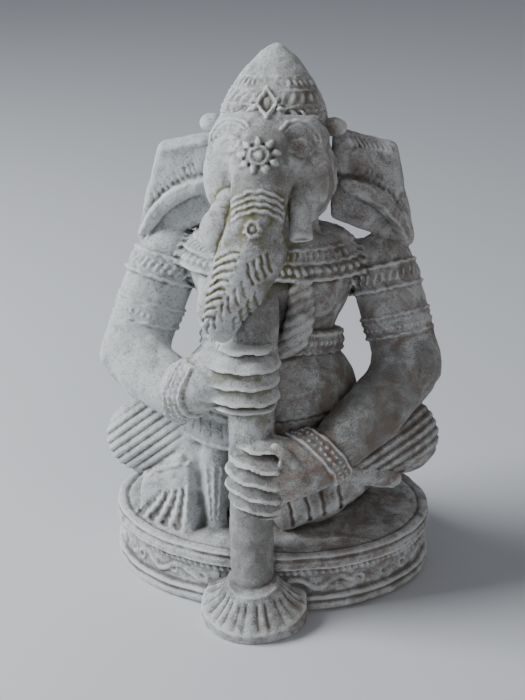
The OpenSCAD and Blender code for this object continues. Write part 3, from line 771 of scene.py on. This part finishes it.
def near_fields(on, s):
    """Distances to some of the elements, on cells s."""
    out = np.full([a.stop - a.start for a in s], FAR, np.float32)
    for n in on:
        both = overlap(s, fields[n].cells)
        if all(a.stop > a.start for a in both):
            to = within(both, s)
            out[to] = np.minimum(out[to], fields[n].whole[within(both, fields[n].cells)])
    return out


def heights(region, chart, strokes, on, clear):
    """Where strokes lie on the stone inside a region, and how high. They fade out towards clear's box."""
    s = span(*region)
    base = stone[s].copy()
    near = np.abs(base) < 2.4
    if on:
        near &= near_fields(on, s) < 1.5
    x, y, z = (np.broadcast_to(a, base.shape)[near] for a in coords(s))
    u, v = chart(x, y, z)
    u = u + 0.12 * np.sin(2.3 * z + 1.1 * x) + 0.06 * np.sin(5.1 * x + 2.7 * y)
    v = v + 0.12 * np.sin(1.9 * x + 1.3 * y) + 0.06 * np.sin(4.7 * z + 3.1 * x)
    wear = 0.84 + 0.16 * np.sin(0.9 * x + 0.7 * z) * np.sin(0.8 * y - 0.6 * x)
    wear = wear + 0.10 * np.sin(3.3 * x + 2.9 * z)
    h = np.zeros(base.shape, np.float32)
    h[near] = drawn(u, v, strokes) * wear
    if clear:
        c, size = mid(clear), half(clear)
        h[near] *= ramp(np.maximum(np.abs(x - c[0]) - size[0], np.abs(z - c[2]) - size[2]), 0, 2)
    return s, base, h


def relief(node, region, chart, strokes, on=(), clear=None, depth=1.3):
    """Raises strokes as the carved element called node, or as part of what is there if node is None."""
    s, base, h = heights(region, chart, strokes, on, clear)
    stone[s] = base - h
    if node:
        claim(node, s, np.maximum(base - h + 6 * np.maximum(0.08 - h, 0), -base - depth))


def score(region, chart, strokes, on=(), clear=None):
    """Cuts strokes into the stone."""
    s, base, h = heights(region, chart, strokes, on, clear)
    stone[s] = base + h


def arc(p, q, rise, n=7):
    """A bowed line between two places on a chart."""
    p, q = np.array(p, float), np.array(q, float)
    o = unit((-(q - p)[1], (q - p)[0]))
    return [tuple(p + (q - p) * t + o * rise * 4 * t * (1 - t)) for t in np.linspace(0, 1, n)]


def arch(c, a, b, a0, a1, n=11):
    """Part of an oval line on a chart."""
    return [(c[0] + a * math.cos(t), c[1] + b * math.sin(t)) for t in np.radians(np.linspace(a0, a1, n))]


def lines(paths, size, tall):
    """Equal strokes, one along each path."""
    return [("line", path, size, tall) for path in paths]


def about(node, grow):
    lo, hi = box(node)
    return lo - grow, hi + grow


# trunk: four fine ridges across its top, a small flower, and wrinkles below
bend = flat_chart(mid("trunk_rings"))
ring_lines = []
for i in range(4):
    top = -1.8 - 1.5 * i
    ring_lines.append(("line", [(u, top - 0.055 * u * u) for u in np.linspace(-5.6, 5.6, 9)], 0.6, 0.62))
relief("trunk_rings", about("trunk_rings", (1, 4, 7)), bend, ring_lines, ("trunk",))

flower_at = (0, -1.2)
petals = [("ring", flower_at, (1.5, 1.6, 0.5), 0.55), ("spot", flower_at, (0.7, 0.7), 0.5)]
for a in np.radians(np.arange(7) * 360 / 7):
    petals.append(("spot", (1.9 * math.cos(a), flower_at[1] + 1.9 * math.sin(a)), (0.62, 0.62), 0.6))
relief("trunk_flower", about("trunk_flower", 3), flat_chart(mid("trunk_flower")), petals, ("trunk",))

folded = flat_chart(spot("trunk", 0.4, 0.05, 0.35))
trunk_front = (spot("trunk", -0.1, -0.1, -0.02), spot("trunk", 1.05, 0.4, 0.62))
creases = lines([arc((-4.5 - 0.45 * i, 4 - 1.95 * i), (0.8 - 0.85 * i, 5.6 - 2.05 * i), 0.5)
                 for i in range(8)], 0.42, 0.5)
score(trunk_front, folded, creases, ("trunk",))
swells = lines([arc((-4.5 - 0.45 * i, 3 - 1.95 * i), (0.4 - 0.85 * i, 4.6 - 2.05 * i), 0.5)
                for i in range(8)], 0.55, 0.4)
relief(None, trunk_front, folded, swells, ("trunk",))
steep = lines([arc((2.6 + 1.5 * i, 2.9 + 0.9 * i), (3.7 + 1.4 * i, -1.3 + 0.9 * i), -0.3)
               for i in range(4)], 0.45, 0.6)
steep += lines([arc((1.4 - 1.45 * i, -0.8 - 1.7 * i), (2.2 - 1.75 * i, -4.2 - 1.75 * i), -0.4)
                for i in range(6)], 0.42, 0.5)
steep += lines([arc((4.2 - 1.5 * i, -3.0 - 1.9 * i), (4.9 - 1.8 * i, -6.0 - 1.8 * i), -0.3)
                for i in range(4)], 0.45, 0.5)
score(trunk_front, folded, steep, ("trunk",))

# forehead: rosette, brows and eyes
rose = [("spot", (0, 0), (1.25, 1.2), 0.75), ("ring", (0, 0), (2.2, 2.0, 0.5), 0.5)]
holes = []
for a in np.radians(12 + np.arange(9) * 40):
    rose.append(("petal", (4.2 * math.cos(a), 3.5 * math.sin(a)), (1.3, 0.8, a), 0.85))
    holes.append(("spot", (3.3 * math.cos(a + 0.35), 2.8 * math.sin(a + 0.35)), (0.55, 0.55), 0.6))
rosette = flat_chart(mid("forehead_flower"))
score(about("forehead_flower", 3.5), rosette, holes)
relief("forehead_flower", about("forehead_flower", 3.5), rosette, rose)
for s, side in SIDES:
    on_brow = flat_chart(mid(side + "_brow"))
    outer = arch((0.15 * s, -3.3), 4.9, 4.6, 90 - s * 90, 90 + s * 62)
    inner = arch((0.15 * s, -3.5), 3.9, 3.6, 90 - s * 85, 90 + s * 55)
    arches = [("line", outer, 0.55, 0.5), ("line", inner, 0.45, 0.4)]
    relief(side + "_brow", about(side + "_brow", (3, 3, 4)), on_brow, arches, ("head", "crown_band"))
    eye, region = (0, -1), about(side + "_eye", 2.6)
    on_eye = flat_chart(mid(side + "_eye"))
    score(region, on_eye, [("ring", eye, (3.5, 2.6, 1.0), 0.3)])
    lids = [("ring", eye, (2.8, 1.75, 0.4), 0.36), ("ring", eye, (1.7, 1.05, 0.38), 0.32)]
    relief(side + "_eye", region, on_eye, lids + [("spot", eye, (0.75, 0.6), 0.38)])

# crown: rows of leaves, petals and beads between fine lines, round its front
crown_front = (box("crown_band")[0] - 1, (99, mid("crown_dome")[1], DOME_Z1 + 2))
on_crown = round_chart((0, mid("crown_dome")[1] + 2, mid("crown_dome")[2]), (0, 0, 1), 10, 0.004)
rows = [("level", v, 0.38, tall) for v, tall in ((3.6, 0.35), (0.9, 0.4), (-2.4, 0.4), (-4.6, 0.35))]
rows += [("row", (0, 2.35), (0.7, 0.85, 1.8), 0.5), ("slant", (1, -0.7), (0.7, 1.2, 2.2), 0.55),
         ("row", (0.9, -3.5), (0.62, 0.62, 1.8), 0.45)]
relief(None, crown_front, on_crown, rows, ("crown_band", "crown_dome", "crown_finial"), "forehead_jewel")
score(crown_front, on_crown, [("row", (0.9, 2.3), (0.35, 0.4, 1.8), 0.4)], ("crown_dome",), "forehead_jewel")

# the leaf jewel: a sunk almond inside a raised outline, with small petals beside it
TALL, WIDE = 3.7, 2.1
almond = [(0, TALL), (-WIDE * 0.6, 1.6), (-WIDE, -0.2), (-WIDE * 0.6, -2.1), (0, -TALL),
          (WIDE * 0.6, -2.1), (WIDE, -0.2), (WIDE * 0.6, 1.6), (0, TALL)]
jewel = [("line", almond, 0.6, 0.95), ("petal", (0, -0.2), (2.0, 0.75, -math.pi / 2), 0.45)]
for s, side in SIDES:
    for i in range(3):
        a = math.radians(62 - 34 * i)
        point = a if s > 0 else math.pi - a
        jewel.append(("petal", (s * (2.4 + 0.55 * i), 0.7 - 1.25 * i), (1.35, 0.5, point), 0.6))
on_jewel = flat_chart(mid("forehead_jewel"))
score(about("forehead_jewel", 3.2), on_jewel, [("spot", (0, 0), (WIDE + 0.3, TALL + 0.3), 0.5)])
relief("forehead_jewel", about("forehead_jewel", 3.2), on_jewel, jewel)

# ears: a curled fold with short hatching over it, and hatching under the left ear's upper edge
for s, side in SIDES:
    lo, hi = about(side + "_ear", 1)
    region = (lo, (hi[0], mid(side + "_ear")[1], hi[2]))
    on_ear, face = flat_chart(mid(side + "_ear")), (side + "_ear",)
    fold = [(-s * 9, 1.2), (-s * 3, 0.6), (s * 3, -2.2), (s * 8, -7.5), (s * 9.5, -11)]
    score(region, on_ear, [("line", [(u, v + 1.8) for u, v in fold], 0.8, 0.5)], face)
    lower = [(u - s, v - 2.6) for u, v in fold]
    relief(None, region, on_ear, [("line", fold, 0.9, 0.4), ("line", lower, 0.5, 0.22)], face)
    ticks = []
    for t in np.linspace(0.1, 0.9, 10):
        u, v = -s * 6 + s * 13 * t, 3.6 - 8.5 * t ** 1.6
        ticks.append(("line", [(u, v), (u + s * 0.9, v + 2.0)], 0.3, 0.35))
    score(region, on_ear, ticks, face)
    if side == "left":
        score(region, on_ear, [("line", [(u, 11.2 - 0.1 * u), (u + 1.3, 8.8 - 0.1 * u)], 0.4, 0.45)
                               for u in np.linspace(-6, 5.5, 11)], face)

# collar: ridges, a row of beads and a row of leaning leaves
on_collar = round_chart((0, COLLAR_Y, COLLAR_Z), (0, 0, 1), 20)
collar_strokes = [("level", 0.7, 0.7, 0.7), ("row", (0, 2.8), (0.95, 0.9, 2.0), 0.75),
                  ("level", 4.5, 0.5, 0.55), ("slant", (0, 5.9), (0.5, 0.9, 1.7), 0.45),
                  ("level", 7.2, 0.45, 0.5)]
relief(None, about("collar", 1), on_collar, collar_strokes, ("collar",))

# belt and belly fold
on_belt = round_chart(BELT_C, BELT_N, 16)
relief(None, about("waist_belt", 1), on_belt, [("level", -2.2, 0.5, 0.5), ("level", 2.2, 0.5, 0.5),
                                              ("row", (0, 0), (0.65, 0.95, 1.5), 0.55)], ("waist_belt",))
on_belly = round_chart(mid("belly"), (0, 0, 1), 19, -0.004)
score(about("belly", 1), on_belly, [("level", -3.4, 0.6, 0.6)], ("belly",))

# sleeves, armlets and bracelets go round the arms
for s, side in SIDES:
    sleeve, armlet, bracelet = (mid(side + n) for n in ("_sleeve", "_armlet", "_bracelet"))
    down = unit(armlet - sleeve)
    relief(side + "_sleeve", about(side + "_sleeve", 1.5), round_chart(sleeve, -down, 9),
           [("band", (-3.1, 3.1), 0.4, 0.45), ("level", 2.7, 0.55, 0.95), ("level", -2.7, 0.6, 1.0),
            ("slant", (0, 0), (0.75, 1.7, 2.1), 0.95)], (side + "_upper_arm",))
    relief(side + "_armlet", about(side + "_armlet", 1.5), round_chart(armlet, -down, 9),
           [("band", (-2.7, 2.7), 0.3, 0.2), ("level", 2.5, 0.45, 0.6), ("level", 1.3, 0.4, 0.55),
            ("row", (0, -0.4), (0.6, 0.65, 1.6), 0.6), ("level", -2.3, 0.5, 0.6)], (side + "_upper_arm",))
    reach = unit(bracelet - mid(side + "_forearm"))
    lo, hi = about(side + "_bracelet", 2.5)
    relief(side + "_bracelet", (lo + reach * 4, hi + reach * 4), round_chart(bracelet, reach, 7),
           [("band", (2.2, 7.2), 0.4, 0.6), ("level", 2.6, 0.6, 1.25), ("level", 7.0, 0.5, 1.05),
            ("row", (0, 4.0), (0.62, 0.6, 1.5), 1.2), ("row", (0.75, 5.5), (0.62, 0.6, 1.5), 1.15)],
           (side + "_forearm", side + "_hand"))

# toes: ridges that run down the right foot's slope, and upright cuts along the left foot
face = flat_chart(ridge)
crests, hollows = [], []
for i in range(4):
    tip = toe_end + (front - toe_end) * (0.16 + 0.24 * i)
    root = tip + (ridge - tip) * (0.42 + 0.07 * i)
    gap = toe_end + (front - toe_end) * (0.05 + 0.24 * i)
    top = gap + (ridge - gap) * (0.42 + 0.05 * i)
    crests.append(("line", arc(face(*root), face(*tip), 0.2), 0.8, 0.45))
    hollows.append(("line", arc(face(*top), face(*gap), 0.2), 1.0, 0.6))
instep = arc(face(*heel_top), face(*ridge), 0.6)
score(about("right_foot", 1), face, hollows, ("right_foot",))
relief(None, about("right_foot", 1), face, crests + [("line", instep, 0.7, 0.4)], ("right_foot",))
face = flat_chart(spot("left_foot", 0.45, 0.2, 0.36))
cuts = lines([arc((u, 3.4 + 0.35 * u), (u + 0.9, -2.2 + 0.35 * u), 0.15)
              for u in (-6.6, -2.4, 1.2, 5.4)], 0.6, 0.9)
score(about("left_foot", 1), face, cuts, ("left_foot",))
relief(None, about("sash_end", 1.5), flat_chart(mid("sash_end")),
       [("line", [(u, 4), (u * 0.5, -9)], 0.5, 0.45) for u in (-2, 0, 2)], ("sash_end",))


def waves(pitch, seed):
    """Smooth random swell over the whole volume, about -1 to 1."""
    n = [int(math.ceil(SIZE[i] * STEP / pitch)) + 4 for i in range(3)]
    v = np.random.default_rng(seed).uniform(-1, 1, n).astype(np.float32)
    for i in range(3):
        t = np.arange(SIZE[i]) * (STEP / pitch) + 1
        m = np.zeros((SIZE[i], n[i]), np.float32)
        j = np.floor(t).astype(int)
        f = (t - j).astype(np.float32)
        for k, w in enumerate((((1 - f) ** 3) / 6, (3 * f ** 3 - 6 * f ** 2 + 4) / 6,
                               (-3 * f ** 3 + 3 * f ** 2 + 3 * f + 1) / 6, f ** 3 / 6)):
            m[np.arange(SIZE[i]), j - 1 + k] += w
        v = np.moveaxis(np.tensordot(m, v, (1, i)), 0, i)
    return v


# hand-carved unevenness, broad to fine: height and pitch in millimetres
SWELLS = ((0.42, 6.5), (0.24, 2.2), (0.24, 1.0))
for seed, (tall, pitch) in enumerate(SWELLS, 1):
    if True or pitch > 2 * STEP:
        stone += tall * waves(pitch, seed)

# the stone stays inside the frame's box and stands flat
x, y, z = coords((slice(0, SIZE[0]), slice(0, SIZE[1]), slice(0, SIZE[2])))
for a, lo, hi in ((x, LOW[0], HIGH[0]), (y, LOW[1], HIGH[1]), (z, LOW[2], HIGH[2])):
    np.maximum(stone, np.maximum(lo - a, a - hi) + np.float32(0.05), out=stone)

GROOVE, HOLLOW = 0.62, 2.4      # how far the two measures of the surface's bend look, in millimetres
near = np.clip(stone, -1.6, 1.6)
fine_bend = box_blur(near, max(1, round(GROOVE / STEP)), 2) - near      # grooves below 0, crests above
# the broad measure is used only to paint shade into hollows
broad_bend = box_blur(np.clip(stone, -3, 3), max(1, round(HOLLOW / STEP)), 2)


def sample(v, p):
    """Values of a volume at points given in cells."""
    p = np.clip(p, 0, np.array(v.shape) - 1.001)
    i = np.floor(p).astype(int)
    f = p - i
    share = (1 - f, f)
    out = 0
    for a in (0, 1):
        for b in (0, 1):
            for c in (0, 1):
                w = share[a][:, 0] * share[b][:, 1] * share[c][:, 2]
                out = out + w * v[i[:, 0] + a, i[:, 1] + b, i[:, 2] + c]
    return out


# ---------------------------------------------------------------- material

def near_box(p, n, grow, fade):
    """1 inside a node's box made bigger by grow, falling to 0 over fade."""
    q = np.maximum(np.abs(p - mid(n)) - half(n) - grow, 0)
    return 1 - ramp(np.sqrt((q * q).sum(1)), 0, fade)


def make_material(name, pale, middle, deep, dust, rough):
    m = bpy.data.materials.new(name)
    m.use_nodes = True
    t = m.node_tree
    t.nodes.clear()
    out = t.nodes.new("ShaderNodeOutputMaterial")
    bsdf = t.nodes.new("ShaderNodeBsdfPrincipled")
    t.links.new(bsdf.outputs[0], out.inputs[0])
    bsdf.inputs["Specular IOR Level"].default_value = 0.28
    bsdf.inputs["Diffuse Roughness"].default_value = 0.6
    coord = t.nodes.new("ShaderNodeTexCoord")

    def attr(n):
        a = t.nodes.new("ShaderNodeAttribute")
        a.attribute_name = n
        return a.outputs["Fac"]

    def noise(scale, detail=4.0, rough=0.55, warp=0.0):
        n = t.nodes.new("ShaderNodeTexNoise")
        n.inputs["Scale"].default_value = scale
        n.inputs["Detail"].default_value = detail
        n.inputs["Roughness"].default_value = rough
        n.inputs["Distortion"].default_value = warp
        t.links.new(coord.outputs["Object"], n.inputs["Vector"])
        return n.outputs["Fac"]

    def crumbs(scale):
        n = t.nodes.new("ShaderNodeTexVoronoi")
        n.inputs["Scale"].default_value = scale
        t.links.new(coord.outputs["Object"], n.inputs["Vector"])
        return n

    def remap(v, a, b, lo=0.0, hi=1.0):
        n = t.nodes.new("ShaderNodeMapRange")
        n.interpolation_type = "SMOOTHSTEP"
        for i, w in ((1, a), (2, b), (3, lo), (4, hi)):
            n.inputs[i].default_value = w
        t.links.new(v, n.inputs[0])
        return n.outputs[0]

    def calc(op, a, b):
        n = t.nodes.new("ShaderNodeMath")
        n.operation = op
        for i, v in enumerate((a, b)):
            if isinstance(v, (int, float)):
                n.inputs[i].default_value = v
            else:
                t.links.new(v, n.inputs[i])
        return n.outputs[0]

    def plus(a, b):
        return calc("ADD", a, b)

    def minus(a, b):
        return calc("SUBTRACT", a, b)

    def times(a, b):
        return calc("MULTIPLY", a, b)

    def mix(f, a, b):
        n = t.nodes.new("ShaderNodeMix")
        n.data_type = "RGBA"
        n.clamp_factor = True
        for i, v in ((0, f), (6, a), (7, b)):
            if isinstance(v, (int, float)):
                n.inputs[i].default_value = v
            elif isinstance(v, tuple):
                n.inputs[i].default_value = (*v, 1)
            else:
                t.links.new(v, n.inputs[i])
        return n.outputs[2]

    bend, hollow = attr("bend"), attr("hollow")
    worn, olive, rust, stain_and_painted_shade_side = attr("worn"), attr("olive"), attr("rust"), attr("stain_and_painted_shade_side")
    cloud = noise(95, 5, 0.6, 0.3)
    patch = noise(330, 5, 0.6)
    grain = noise(2300, 3, 0.65)
    speck = noise(5200, 2, 0.6)
    crystals = crumbs(3000)

    # chalky dust lies over a darker grey stone, thin in the worn parts; it is made thick on crests, which
    # makes them paler as a painted highlight
    dust_and_crest_highlight = plus(times(remap(cloud, 0.34, 0.66), 0.55), times(remap(patch, 0.32, 0.68), 0.45))
    dust_and_crest_highlight = plus(dust_and_crest_highlight, times(remap(bend, -0.05, 0.30), 0.55))
    dust_and_crest_highlight = minus(dust_and_crest_highlight, times(worn, 0.85))
    dust_and_crest_highlight = plus(dust_and_crest_highlight, dust)
    dust_and_crest_highlight = plus(dust_and_crest_highlight, times(minus(grain, 0.5), 2.1))
    base = mix(remap(patch, 0.3, 0.7), deep, middle)
    col = mix(remap(dust_and_crest_highlight, 0.05, 0.95), base, pale)
    # dark and pale grains of the stone itself
    tone = crumbs(2600).outputs["Color"]
    sep = t.nodes.new("ShaderNodeSeparateColor")
    t.links.new(tone, sep.inputs[0])
    dark_grain = times(remap(sep.outputs[0], 0.72, 0.92), remap(crystals.outputs["Distance"], 0.75, 0.25))
    col = mix(times(dark_grain, 0.50), col, (0.10, 0.10, 0.10))
    lite_grain = times(remap(sep.outputs[1], 0.80, 0.95), 0.10)
    col = mix(lite_grain, col, (0.80, 0.81, 0.80))
    # brown staining and painted shade: brown patches that grow stronger towards the side away from the light
    brown_stain_and_painted_shade = times(remap(noise(150, 6, 0.65, 0.6), 0.36, 0.66), stain_and_painted_shade_side)
    col = mix(times(brown_stain_and_painted_shade, 0.80), col, (0.185, 0.140, 0.110))
    rusty = times(rust, remap(noise(260, 4, 0.6), 0.42, 0.66))
    col = mix(times(rusty, 0.55), col, (0.33, 0.19, 0.12))
    # painted shade in grooves and hollows
    groove_shade = remap(plus(bend, times(minus(patch, 0.5), 0.10)), -0.05, -0.24)
    # painted shade: the broad bend measure darkens hollows
    low = remap(hollow, -0.15, -1.3)
    col = mix(times(low, 0.42), col, (0.16, 0.145, 0.125))
    groove_shade_col = mix(remap(noise(420, 3), 0.4, 0.6), (0.11, 0.095, 0.065), (0.07, 0.065, 0.055))
    col = mix(times(groove_shade, 0.62), col, groove_shade_col)
    moss = times(olive, times(remap(minus(noise(300, 5, 0.65), times(bend, 0.8)), 0.44, 0.66), 1.0))
    col = mix(times(moss, 0.85), col, (0.20, 0.185, 0.085))
    # rubbed crests, paler also as a painted highlight
    crest_rub_and_highlight = remap(plus(bend, times(minus(grain, 0.5), 0.12)), 0.10, 0.30)
    col = mix(times(crest_rub_and_highlight, 0.55), col, (0.80, 0.81, 0.80))
    # pits, more of them on the side away from the light, where they add to the painted shade
    pit_field = crumbs(1500)
    pit_pick = t.nodes.new("ShaderNodeSeparateColor")
    t.links.new(pit_field.outputs["Color"], pit_pick.inputs[0])
    picked = remap(plus(pit_pick.outputs[0], times(stain_and_painted_shade_side, 0.2)), 0.80, 1.0)
    some = times(picked, remap(noise(210, 4, 0.6), 0.46, 0.66))
    pit = times(some, remap(pit_field.outputs["Distance"], 0.34, 0.12))
    col = mix(times(pit, 0.6), col, (0.09, 0.085, 0.075))
    t.links.new(col, bsdf.inputs["Base Color"])

    r = plus(times(grain, 0.16), rough)
    r = minus(r, times(worn, 0.16))
    t.links.new(r, bsdf.inputs["Roughness"])

    h = plus(times(grain, 0.5), times(speck, 0.22))
    h = plus(h, times(patch, 0.35))
    h = minus(h, times(pit, 0.55))
    h = minus(h, times(dark_grain, 0.12))
    bump = t.nodes.new("ShaderNodeBump")
    bump.inputs["Strength"].default_value = 1.0
    bump.inputs["Distance"].default_value = 0.00045
    t.links.new(h, bump.inputs["Height"])
    t.links.new(bump.outputs[0], bsdf.inputs["Normal"])
    return m


STONES = {      # dusty, bare and deep colours, how much dust, and roughness
    "stone_pale": ((0.64, 0.66, 0.665), (0.40, 0.41, 0.41), (0.29, 0.295, 0.29), 0.28, 0.72),
    "stone_worn": ((0.60, 0.62, 0.62), (0.36, 0.365, 0.36), (0.25, 0.255, 0.25), 0.02, 0.68),
    "stone_grey": ((0.62, 0.635, 0.64), (0.38, 0.385, 0.38), (0.27, 0.27, 0.265), 0.15, 0.72),
}
mats = {name: make_material(name, *values) for name, values in STONES.items()}
slot_of = {p["node"]: p["material_slot"] for p in frame["record"]["subparts"]}

# ---------------------------------------------------------------- pieces


CRUMB_FACES, CRUMB_SHARE = 60, 0.03     # an island is kept if it beats both: faces, share of the biggest
TUCK = 0.035        # a piece that runs on beneath its neighbour lies this far below the surface
RUN_ON = 0.55       # and runs on this far


def keep_main(points, quads):
    """Drops loose crumbs: islands of faces much smaller than the largest one."""
    lab = np.arange(len(points))
    e = np.vstack([quads[:, [0, 1]], quads[:, [1, 2]], quads[:, [2, 3]], quads[:, [3, 0]]])
    while True:
        m = np.minimum(lab[e[:, 0]], lab[e[:, 1]])
        new_lab = lab.copy()
        np.minimum.at(new_lab, e[:, 0], m)
        np.minimum.at(new_lab, e[:, 1], m)
        new_lab = new_lab[new_lab]
        if (new_lab == lab).all():
            break
        lab = new_lab
    ids, count = np.unique(lab[quads[:, 0]], return_counts=True)
    good = ids[count > max(CRUMB_FACES, CRUMB_SHARE * count.max())]
    quads = quads[np.isin(lab[quads[:, 0]], good)]
    used = np.unique(quads)
    back = np.full(len(points), -1)
    back[used] = np.arange(len(used))
    return points[used], back[quads]


pieces = []
for n in names:
    c, part = shares[n]
    i = names.index(n) + 1
    other = np.where(owner[c] == i, second[c], first[c])
    m = (part - other) * 0.5
    g = stone[c]
    d = np.minimum(np.maximum(g, m), np.maximum(g + TUCK, m - RUN_ON))
    d = np.clip(d, -3 * STEP, 3 * STEP).astype(np.float32)
    d = np.pad(d, 1, constant_values=3 * STEP)
    grid = openvdb.FloatGrid(3 * STEP)
    grid.copyFromArray(d)
    points, _, quads = grid.convertToPolygons(isovalue=0.0, adaptivity=0.0)
    quads = np.array(quads, dtype=np.int64).reshape(-1, 4)
    points = np.array(points, dtype=np.float64)
    points, quads = keep_main(points, quads)
    cell_pos = points - 1 + np.array([s.start for s in c])
    mm = cell_pos * STEP + START
    mesh = bpy.data.meshes.new(n)
    mesh.vertices.add(len(mm))
    mesh.vertices.foreach_set("co", (mm / 1000).astype(np.float32).ravel())
    quads = quads[:, ::-1]
    mesh.loops.add(quads.size)
    mesh.loops.foreach_set("vertex_index", quads.astype(np.int32).ravel())
    mesh.polygons.add(len(quads))
    mesh.polygons.foreach_set("loop_start", np.arange(0, quads.size, 4, dtype=np.int32))
    mesh.polygons.foreach_set("use_smooth", np.ones(len(quads), bool))
    mesh.update(calc_edges=True)
    mesh.validate()
    values = {
        "bend": sample(fine_bend, cell_pos),
        "hollow": sample(broad_bend, cell_pos),
        "worn": np.clip(near_box(mm, "horn_tube", -1, 4) * (1 - ramp(mm[:, 2], 26, 60)) * 0.9
                        + near_box(mm, "left_forearm", -2, 6) * 0.75
                        + near_box(mm, "trunk", -4, 4) * ramp(mm[:, 0], -9, 1) * 0.7, 0, 1),
        "olive": np.clip(near_box(mm, "trunk", -3, 5)
                         * (1 - ramp(mm[:, 2], 100, 110)) * ramp(mm[:, 2], 74, 80)
                         + near_box(mm, "right_hand", -2, 4) * 0.6 + near_box(mm, "right_tusk", -2, 3) * 0.8
                         + near_box(mm, "trunk_flower", 0, 3) + near_box(mm, "crown_dome", 0, 3) * 0.3, 0, 1),
        "rust": np.clip(near_box(mm, "left_hand", -3, 7) * ramp(mm[:, 0], 2, 9), 0, 1),
        # painted shade: rises across the figure towards the side away from the key light, and also sets the
        # brown stain
        "stain_and_painted_shade_side": np.clip(0.12 + 0.88 * ramp(mm[:, 0], -4, 14), 0, 1),
    }
    for k, v in values.items():
        mesh.attributes.new(k, "FLOAT", "POINT").data.foreach_set("value", v.astype(np.float32))
    o = bpy.data.objects.new(n + "_carved", mesh)
    bpy.context.scene.collection.objects.link(o)
    slot = slot_of.get(n, "stone_grey")
    mesh.materials.append(mats[slot])
    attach(o, "root")
    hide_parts(n)
    pieces.append(o)
print("faces", sum(len(o.data.polygons) for o in pieces))

# ---------------------------------------------------------------- stage

floor_mesh = bpy.data.meshes.new("floor")
FLOOR = 3.0         # half its width, in metres
corners = [(-FLOOR, -FLOOR, 0), (FLOOR, -FLOOR, 0), (FLOOR, FLOOR, 0), (-FLOOR, FLOOR, 0)]
floor_mesh.from_pydata(corners, [], [(0, 1, 2, 3)])
floor = bpy.data.objects.new("floor", floor_mesh)
bpy.context.scene.collection.objects.link(floor)
floor_paint = bpy.data.materials.new("floor")
floor_paint.use_nodes = True
floor_shader = floor_paint.node_tree.nodes["Principled BSDF"]
floor_shader.inputs["Base Color"].default_value = (0.62, 0.63, 0.65, 1)
floor_shader.inputs["Roughness"].default_value = 0.9
floor_mesh.materials.append(floor_paint)

world = bpy.data.worlds.new("studio")
bpy.context.scene.world = world
world.use_nodes = True
world.node_tree.nodes["Background"].inputs[0].default_value = (0.72, 0.76, 0.84, 1)
world.node_tree.nodes["Background"].inputs[1].default_value = 0.26


def area(name, where, size, watts, colour):
    """A rectangular light that faces the middle of the figure."""
    lamp = bpy.data.lights.new(name, "AREA")
    lamp.shape = "RECTANGLE"
    lamp.size, lamp.size_y = size
    lamp.energy = watts
    lamp.color = colour
    o = bpy.data.objects.new(name, lamp)
    bpy.context.scene.collection.objects.link(o)
    o.location = where
    aim = Vector((0, 0, 0.07)) - Vector(where)
    o.rotation_mode = "QUATERNION"
    o.rotation_quaternion = aim.to_track_quat("-Z", "Y")


area("window", (-0.60, -0.14, 0.46), (0.42, 0.46), 9.6, (0.94, 0.97, 1.0))
area("room", (0.55, -0.65, 0.45), (0.6, 0.6), 1.0, (1.0, 0.92, 0.84))

cam = bpy.data.cameras.new("camera")
cam.lens, cam.sensor_width = 77.6, 36
cam_o = bpy.data.objects.new("camera", cam)
bpy.context.scene.collection.objects.link(cam_o)
cam_o.location = (0.0524, -0.3506, 0.194)
cam_o.rotation_euler = (math.radians(68.8), 0, math.radians(8.92))
bpy.context.scene.camera = cam_o
